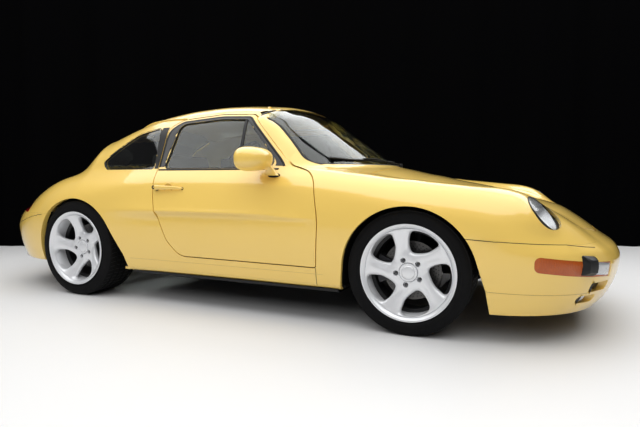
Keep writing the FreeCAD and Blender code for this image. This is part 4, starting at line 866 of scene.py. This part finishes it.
def makeDoorFrame(side, sign, doorTree, inward):
    put, door = fromSide(sign), "door_" + side
    inside = upperFrame(doorLoop(doorPane, doorPaneRound))
    outside = upperFrame(doorLoop(doorShape, doorRound, -.001))
    reach = doorFrame["reach"]
    outside = [p.lerp(q, reach + (1 - reach) * min(max(k / 89 - doorFrame["rearFrom"], 0) / doorFrame["rearOver"], 1))
               for k, (p, q) in enumerate(zip(inside, outside))]
    rows = [[put(p) for p in row] for row in between(inside, outside, 9)]
    cover("door_frame_black_" + side, rows, doorTree, inward, doorFrame["lift"], glassEdge, door)
    stripe("door_frame_edge_" + side, *onSkin(doorTree, rows[-2], inward), doorFrame["edgeWidth"],
           doorFrame["edgeHeight"], seal, door)


rearPillar = {"foot": .658, "head": .868, "front": (.7222, .7262), "back": (.734, .752), "shift": .004, "lift": .0012,
              "gap": (.7205, .7250), "gapFrom": -.004, "gapTo": .0055, "gapDepth": .004}


def makeRearPillar(side, sign, frameTree, inward):
    # black pillar between the door and the rear side window, and a dark strip of painted shade in the gap before it
    put = fromSide(sign)
    heights = span(up(rearPillar["foot"]), up(rearPillar["head"]), 16)
    (f0, f1), (b0, b1), shift = rearPillar["front"], rearPillar["back"], rearPillar["shift"]
    front = [put((along(f0 + (f1 - f0) * min(k / 15 * 1.1, 1)) + shift, z)) for k, z in enumerate(heights)]
    back = [put((along(b0 + (b1 - b0) * (k / 15)) + shift, z)) for k, z in enumerate(heights)]
    cover("pillar_black_" + side, between(front, back, 7), frameTree, inward, rearPillar["lift"], trim, "shell")
    # the dark strip: painted shade, sunk a little behind the skin in the gap
    line = [put((along(s), z)) for s, z in zip(span(*rearPillar["gap"], 16), heights)]
    depths = [onSkin(frameTree, [p + Vector((-.010, 0, 0))], inward)[0][0].y for p in line]
    rows = [[Vector((p.x + dx, y - sign * rearPillar["gapDepth"], p.z)) for p, y in zip(line, depths)]
            for dx in (rearPillar["gapFrom"], rearPillar["gapTo"])]
    piece("pillar_gap_shade_" + side, *grid(rows), trim, "shell", "black_plastic", 40)


def makeBars(side, sign, doorTree, inward):
    # the vent pane's bar, the moulding at the belt and the drip rail along the roof's seam
    put, door = fromSide(sign), "door_" + side
    bar = even([Vector((along(s), up(h))) for s, h in doorFrame["ventBar"]], 12)
    stripe("vent_bar_" + side, *onSkin(skinTree("door_glass_" + side), [put(p) for p in bar], inward),
           doorFrame["barWidth"], doorFrame["barHeight"], trim, door)
    belt = [put((along(s), up(doorFrame["mouldingAt"]))) for s in span(*doorFrame["moulding"], 40)]
    stripe("belt_moulding_" + side, *onSkin(doorTree, belt, inward), doorFrame["mouldingWidth"],
           doorFrame["mouldingHeight"], seal, door)
    rail = smooth([Vector((along(s), sign * out(y), 2)) for s, y in
                   ((.385, .652), (.45, .658), (.55, .659), (.66, .658), (.73, .638), (.80, .605), (.86, .555),
                    (.903, .505))], 70)
    stripe("drip_rail_" + side, *onSkin(shellTree, rail, Vector((0, 0, -1))), .011, .008, paint, "shell", "body_paint")


handle = {
    "front": .606, "rear": .702, "height": .726, "steps": 24, "around": 18,
    # round parts on the door: place along the handle, points round, and (radius, height) pairs
    "dish": (12, 40, ((.0340, -.002), (.0335, .0016), (.0315, .0034), (.028, .0032), (.018, .0016), (.008, .0008),
                      (.0002, .0006))),
    "feet": ((1, 20, ((.0100, -.002), (.0085, .004), (.006, .006), (.0002, .006))),
             (21, 24, ((.0150, -.002), (.0145, .006), (.0125, .018), (.0002, .018)))),
    "barrel": (22, 24, ((.0115, .010), (.0112, .0300), (.0095, .0315), (.0085, .0305), (.0020, .0300),
                        (.0002, .0285))),
}


def makeHandle(side, sign, doorTree, inward):
    # pull handle that narrows to the front, over a round dish, with its key barrel at the rear end
    put, door = fromSide(sign), "door_" + side
    steps = handle["steps"]
    line = [put((x, handle["height"])) for x in span(along(handle["front"]), along(handle["rear"]), steps)]
    points, normals = onSkin(doorTree, line, inward)
    normals = levelled(normals, False)
    rows = []
    for k, (p, n) in enumerate(zip(points, normals)):
        t = k / (steps - 1)
        full = .35 if k in (0, steps - 1) else 1      # the ends are drawn in
        rise = .003 + .019 * min(math.sin(math.pi * min(t * .85 + .03, .5)), 1) ** .7
        tall = (.0060 + .0085 * t ** .7) * full
        thick = (.0035 + .0055 * t ** .5) * full
        rows.append([p + n * (rise + thick * math.sin(a)) + Vector((0, 0, tall * math.cos(a)))
                     for a in circle(handle["around"])])
    piece("door_handle_" + side, *capped(rows), paint, door, "body_paint", 50)

    def disc(at, around, profile):
        p, n = points[at], normals[at]
        across = Vector((0, 0, 1)).cross(n).normalized()
        return grid([[p + n * h + across * (r * math.cos(a)) + Vector((0, 0, r * math.sin(a))) for a in circle(around)]
                     for r, h in profile], False, True)

    piece("handle_dish_" + side, *disc(*handle["dish"]), dishShade, door, "body_paint", 60)
    piece("handle_feet_" + side, *together(*[disc(*foot) for foot in handle["feet"]]), seal, door, "black_plastic", 50)
    piece("key_barrel_" + side, *disc(*handle["barrel"]), trim, door, "black_plastic", 40)


def makeGasket(side, sign, doorTree, inward):
    # ring under the mirror's stalk, a little wider than where the stalk meets the door
    put = fromSide(sign)
    foot = [v.co for v in nodes["mirror_" + side].data.vertices if doorTree.find_nearest(v.co)[3] < .004]
    middle = sum(foot, Vector()) / len(foot)
    wide = max(abs(v.x - middle.x) for v in foot) + .004
    tall = max(abs(v.z - middle.z) for v in foot) + .004
    ring = [put((middle.x + wide * math.cos(a), middle.z + tall * math.sin(a))) for a in circle(48)]
    stripe("mirror_gasket_" + side, *onSkin(doorTree, ring, inward), .012, .006, seal, "door_" + side, closed=True)


def makeSideTrim(side, sign):
    inward = Vector((0, -sign, 0))
    doorTree = skinTree("door_" + side)
    ribbon("door_window_seal_" + side, *paneRim("door_glass_" + side), seals["door"], "door_" + side)
    ribbon("quarter_window_seal_" + side, *paneRim("quarter_windows", sign), seals["quarter"], "shell")
    makeDoorFrame(side, sign, doorTree, inward)
    makeRearPillar(side, sign, skinTree("side_frame_" + side), inward)
    makeBars(side, sign, doorTree, inward)
    makeHandle(side, sign, doorTree, inward)
    makeGasket(side, sign, doorTree, inward)


pillar = {
    "nearY": .33, "footZ": .876, "frontX": .56,     # the part of the windscreen's rim that the pillar follows
    "points": 40, "frontOf": .46, "roofFrom": .905, "overRoof": .024, "roofDrop": .016, "overDoor": .0055,
    "depth": .022, "skin": .002, "footDive": .014, "bulge": .16,
}


def makePillar(side, sign):
    # painted windscreen pillar between the pane's rim and the door's window frame
    doorTree, roofTree = skinTree("door_" + side), skinTree("roof_panel")
    inward = Vector((0, -sign, 0))
    rim, _ = paneRim("windscreen", 0, 360)
    edge = sorted((p for p in rim if p.y * sign > pillar["nearY"] and p.z > pillar["footZ"] and p.x < pillar["frontX"]),
                  key=lambda p: -p.x)
    edge = smooth([sum(edge[k:k + 3], Vector()) / 3 for k in range(0, len(edge) - 3, 4)], pillar["points"])
    ahead = sorted((p for p in doorLoop(doorShape, doorRound) if p.x > along(pillar["frontOf"])), key=lambda p: p.y)
    other = []
    for p in edge:
        low = max((q for q in ahead if q.y <= p.z), key=lambda q: q.y, default=ahead[0])
        high = min((q for q in ahead if q.y > p.z), key=lambda q: q.y, default=ahead[-1])
        share = (p.z - low.y) / (high.y - low.y) if high.y > low.y else 0
        front = low.x + (high.x - low.x) * min(max(share, 0), 1)
        hit = doorTree.ray_cast(Vector((front - .004, sign * 1.2, min(p.z, high.y - .004))), inward)[0]
        roof = roofTree.find_nearest(p)[0]
        if hit is None or p.z > up(pillar["roofFrom"]):
            other.append(roof + (roof - p).normalized() * pillar["overRoof"] - Vector((0, 0, pillar["roofDrop"])))
        else:
            other.append(Vector((front + pillar["overDoor"], hit.y, p.z)))
    for _ in range(3):
        other = [other[0]] + [(a + b * 2 + c) / 4 for a, b, c in zip(other, other[1:], other[2:])] + [other[-1]]
    heart = Vector((0, 0, .80))
    last = pillar["points"] - 1
    rows = []
    for k, (p, q) in enumerate(zip(edge, other)):
        off = ((p + q) / 2 - heart).normalized()
        dive = off * (pillar["footDive"] * max(1 - k / 5, 0))      # the foot goes into the wing
        bulge = pillar["bulge"] * (q - p).length * min(k / 8, 1) * min((last - k) / 14, 1)
        rows.append([p - off * pillar["depth"] - dive, p - off * pillar["skin"] - dive]
                    + [p.lerp(q, t) + off * (bulge * math.sin(math.pi * t)) - dive for t in (.2, .4, .6, .8)]
                    + [q - dive, q - off * pillar["depth"] - dive])
    piece("screen_pillar_" + side, *capped(rows), paint, "shell", "body_paint", 50)


wiper = {
    "blades": ((.06, -.05, -.53), (.50, .42, -.02)),     # y of the pivot and of the blade's ends
    "reach": .045, "lift": .009,
    "blade": ((-.003, -.009), (.003, -.009), (.006, .001), (.004, .006), (-.004, .006), (-.006, .001)),
    "arm": ((-.006, -.003), (.006, -.003), (.005, .003), (-.005, .003)),
    "armRise": ((0, .016), (.25, .016), (.7, .014), (1, 0)),     # share of the way to the blade, height
    "pivot": ((.0002, -.004), (.014, -.004), (.014, .014), (.011, .022), (.0002, .023)),
}


def makeWipers():
    # two blades parked along the foot of the windscreen, each on an arm from its pivot on the cowl
    rim, _ = paneRim("windscreen", 0, 240)
    glassTree, cowlTree = skinTree("windscreen"), skinTree("cowl_panel")
    middle = sum(rim, Vector()) / len(rim)
    foot = [p for p in rim if p.z < middle.z - .05]

    def nearFoot(y):
        return min(foot, key=lambda p: abs(p.y - y))

    def outwards(p):
        normal = glassTree.find_nearest(p)[1]
        return normal if normal.x > 0 else -normal

    for number, (pivot, first, last) in enumerate(wiper["blades"]):
        spots = []
        for base in [nearFoot(y) for y in span(first, last, 24)]:
            p = base + (Vector((middle.x, base.y * .9, middle.z)) - base).normalized() * wiper["reach"]
            spots.append(glassTree.find_nearest(p)[0] + outwards(p) * wiper["lift"])
        path = smooth(spots[::3] + [spots[-1]], 30)
        normals = levelled([outwards(p) for p in path], False)
        blade = sweep(path, wiper["blade"], normals)
        root = nearFoot(pivot)
        hit = cowlTree.ray_cast(root + Vector((.035, 0, .12)), Vector((0, 0, -1)))[0] or root
        knee = path[len(path) // 2] + normals[len(path) // 2] * .012
        arm = smooth([hit.lerp(knee, t) + Vector((0, 0, z)) for t, z in wiper["armRise"]], 20)
        rod = sweep(arm, wiper["arm"], [Vector((.3, 0, 1))] * 20)
        cap = lathe(wiper["pivot"], 24, lambda r, a, h: hit + Vector((r * math.cos(a), r * math.sin(a), h)))
        piece("wiper_" + str(number), *together(blade, rod, cap), trim, "shell", "black_plastic", 40)


headlamp = {
    "centre": (along(-.623), out(.755), up(.489)), "axis": (.765, .18, .62),
    # (radius, height) from the lens inwards
    "bowl": ((.0005, -.088), (.020, -.086), (.045, -.074), (.070, -.050), (.088, -.024), (.0955, -.012),
             (.0975, -.012), (.0975, -.030), (.080, -.062), (.050, -.088), (.0005, -.096)),
    "bulb": ((.0005, -.040), (.012, -.042), (.016, -.050), (.016, -.080), (.0005, -.085)),
    "ring": ((.0955, -.010), (.0985, -.008), (.0992, -.012), (.0992, -.024), (.0955, -.020)),
}


def makeHeadlamp(side, sign):
    (x, y, z), (u, v, w) = headlamp["centre"], Vector(headlamp["axis"]).normalized()
    centre, axis = Vector((x, sign * y, z)), Vector((u, sign * v, w))
    first = axis.cross(Vector((0, 1, 0))).normalized()
    second = axis.cross(first).normalized()

    def put(r, angle, h):
        return centre + first * (r * math.cos(angle)) + second * (r * math.sin(angle)) + axis * h

    piece("lamp_reflector_" + side, *lathe(headlamp["bowl"], 64, put), mirrorMetal, "shell", "lamp_glass", 40)
    piece("lamp_bulb_" + side, *lathe(headlamp["bulb"], 32, put), clearLens, "shell", "lamp_glass", 40)
    piece("lamp_ring_" + side, *lathe(headlamp["ring"], 96, put), trim, "shell", "black_plastic", 40)


bumper = {
    # strips on the bumper's face: from and to across, below and above the lamp's edges, points, lift, thickness
    "lamp": (.588, .470, 0, 0, 12, .0012, .002), "filler": (.474, .418, .012, .010, 8, .0016, .001),
    "block": (.660, .590, .004, .024, 10, .001, .026),
    "lampFoot": .314, "lampRise": .13, "lampFrom": .434, "lampHeight": .072,
    "slots": ((.50, .71, .190, .237), (.58, .75, .150, .190)), "slotDepth": .075, "slotTurn": .03,
}


def makeBumperTrim(side, sign):
    # clear lamp, filler and rubber block that complete the amber strip, and the dark backs of the air slots
    tree = skinTree("front_bumper", "front_turn_lamps")
    inward = Vector((-1, 0, 0))

    def before(y, z):
        return Vector((2.2, sign * y, z))

    def strip(y0, y1, under, over, count, lift, tall):
        rows = []
        for k, y in enumerate(span(y0, y1, count)):
            foot = bumper["lampFoot"] + (abs(y) - bumper["lampFrom"]) * bumper["lampRise"]
            line = [before(y, z) for z in span(foot - under, foot + bumper["lampHeight"] + over, 9)]
            row = []
            for j, (p, n) in enumerate(zip(*onSkin(tree, line, inward, lift))):
                edge = min(j, 8 - j, k, count - 1 - k)
                row.append(p + n * (tall * min(edge / 2, 1) - (.006 if edge == 0 else 0)))
            rows.append(row)
        return grid(rows)

    piece("parking_lamp_" + side, *strip(*bumper["lamp"]), clearLens, "shell", "lamp_glass", 40)
    piece("lamp_filler_" + side, *strip(*bumper["filler"]), paint, "shell", "body_paint", 40)
    piece("bumper_block_" + side, *strip(*bumper["block"]), trim, "shell", "black_plastic", 45)
    backs = []
    for near, far, low, high in bumper["slots"]:
        rows = []
        for z in (up(low), up(high)):
            first, last = onSkin(tree, [before(out(near), z), before(out(far), z)], inward)[0]
            rows.append([first - Vector((bumper["slotDepth"], 0, 0)),
                         last - Vector((bumper["slotDepth"], sign * bumper["slotTurn"], 0))])
        backs.append(grid(rows))
    piece("air_slot_backs_" + side, *together(*backs), trim, "shell", "black_plastic", 40)


seams = {
    # points as (station, height in metres), then width, height and finish of the line
    "bumper_joint_": (smooth([Vector((along(s), up(h))) for s, h in
                              ((-.292, .3925), (-.30, .392), (-.50, .3842), (-.70, .3758), (-.79, .3715),
                               (-.84, .3715))], 40), .0032, .0006, seal),
    "bumper_crease_": (smooth([Vector((along(s), z)) for s, z in
                               ((-.335, .262), (-.50, .257), (-.70, .252), (-.82, .250))], 30),
                       .0034, .0004, creaseShade),
    "tail_joint_": ([(along(s), up(.4243)) for s in span(1.352, 1.90, 40)], .0032, .0006, seal),
    "sill_crease_": ([(along(s), .276 + .004 * k / 59) for k, s in enumerate(span(.20, .795, 60))],
                     .0016, .0003, creaseShade),
    "wing_joint_": ([(along(.2185), z) for z in span(up(.240), .203, 12)], .0030, .0006, seal),
}
sillFoot = {"stations": (.165, .795),
            "section": ((.60, .1925), (.60, .180), (.775, .180), (.795, .190), (.795, .200))}


def makeSeams(side, sign):
    # dark joints round the bumpers and the wing, the sill's crease and its black foot
    put = fromSide(sign)
    for name, (line, width, height, made) in seams.items():
        points, normals = onSkin(shellTree, [put(p) for p in line], Vector((0, -sign, 0)))
        stripe(name + side, points, normals, width, height, made, "shell", steps=5)
    rows = [[Vector((along(s), sign * y, z)) for s in span(*sillFoot["stations"], 40)] for y, z in sillFoot["section"]]
    piece("sill_foot_" + side, *grid(rows), trim, "shell", "black_plastic", 40)


for side, sign in sides:
    makeSideTrim(side, sign)
    makeHeadlamp(side, sign)
    makeBumperTrim(side, sign)
    makeSeams(side, sign)
    makePillar(side, sign)
ribbon("windscreen_seal", *paneRim("windscreen", 0, 240), seals["screen"], "shell")
ribbon("rear_window_seal", *paneRim("rear_window", 0, 200), seals["screen"], "shell")
makeWipers()
print("trim made")

view = {"place": (1.7951, -3.2676, .789), "yaw": 24.725, "pitch": -3.95, "lens": 28.73}
stage = {
    "floorHalf": 30, "floorDrop": .0005,
    "curtain": 5.93, "curtainHalf": 14, "curtainTop": 3.0,        # metres from the camera, to each side, up
    "ambient": (.06, .062, .066), "gloss": (.14, .14, .145), "backdrop": (.004, .004, .005),
}


def makeStage():
    half = stage["floorHalf"]
    floor = grid([[Vector((x * half, y * half, -stage["floorDrop"])) for y in (-1, 1)] for x in (-1, 1)])
    ground = newThing("studio_floor", plainMesh("studio_floor", *floor))
    ground.data.materials.append(floorFinish.material)
    # black curtain behind the car, square to the view, with soft folds
    yaw = math.radians(view["yaw"])
    ahead = Vector((-math.sin(yaw), math.cos(yaw), 0))
    right = Vector((math.cos(yaw), math.sin(yaw), 0))
    foot = Vector(view["place"]).xy.to_3d() + ahead * stage["curtain"]
    rows = []
    for k, t in enumerate(span(-1, 1, 241)):
        fold = .03 * math.sin(k * 1.9) + .04 * math.sin(k * .73 + 1)
        base = foot + right * (stage["curtainHalf"] * t) + ahead * fold
        rows.append([base + Vector((0, 0, z)) for z in (-.002, 1.5, stage["curtainTop"])])
    cloth = newThing("studio_curtain", plainMesh("studio_curtain", *grid(rows)))
    cloth.data.shade_smooth()
    cloth.data.materials.append(curtain.material)


def makeWorld():
    # weak light all round, a little more in reflections, and dark to the camera and through glass
    world = bpy.data.worlds.new("studio")
    world.use_nodes = True
    sky = Graph(world.node_tree)
    camera, glossy, through = [sky.add("ShaderNodeLightPath", {}, {}, ray) for ray in
                               ("Is Camera Ray", "Is Glossy Ray", "Is Transmission Ray")]
    shine = sky.mix(glossy, stage["ambient"], stage["gloss"])
    sky.feed(world.node_tree.nodes["Background"].inputs["Color"],
             sky.mix(camera.most(through), shine, stage["backdrop"]))
    scene.world = world


lamps = (
    # name, place, aimed at, width, height, watts
    ("overhead", (.2, -1.4, 4.0), (.2, -1.2, 0), 9.0, 4.8, 300),
    ("farTop", (.2, 2.9, 3.9), (.2, 2.4, 0), 10.0, 3.4, 270),
    ("nearSide", (.6, -5.6, 3.6), (.2, 0, .4), 9.0, 2.4, 125),
)


def makeLamps():
    for name, place, aim, wide, tall, watts in lamps:
        data = bpy.data.lights.new(name, "AREA")
        data.shape = "RECTANGLE"
        data.size, data.size_y, data.energy = wide, tall, watts
        lamp = newThing(name, data)
        lamp.location = place
        lamp.rotation_euler = (Vector(aim) - Vector(place)).to_track_quat("-Z", "Y").to_euler()
        lamp.visible_glossy = name != "nearSide"      # it only fills: its sharp edge isn't to be seen in the paint


def makeCamera():
    data = bpy.data.cameras.new("camera")
    data.lens, data.sensor_width = view["lens"], 36.0
    yaw, pitch = math.radians(view["yaw"]), math.radians(view["pitch"])
    ahead = Vector((-math.sin(yaw) * math.cos(pitch), math.cos(yaw) * math.cos(pitch), math.sin(pitch)))
    camera = newThing("camera", data)
    camera.location = view["place"]
    camera.rotation_euler = ahead.to_track_quat("-Z", "Y").to_euler()
    scene.camera = camera


makeStage()
makeWorld()
makeLamps()
makeCamera()
scene.view_settings.view_transform = "Standard"
print("studio set")
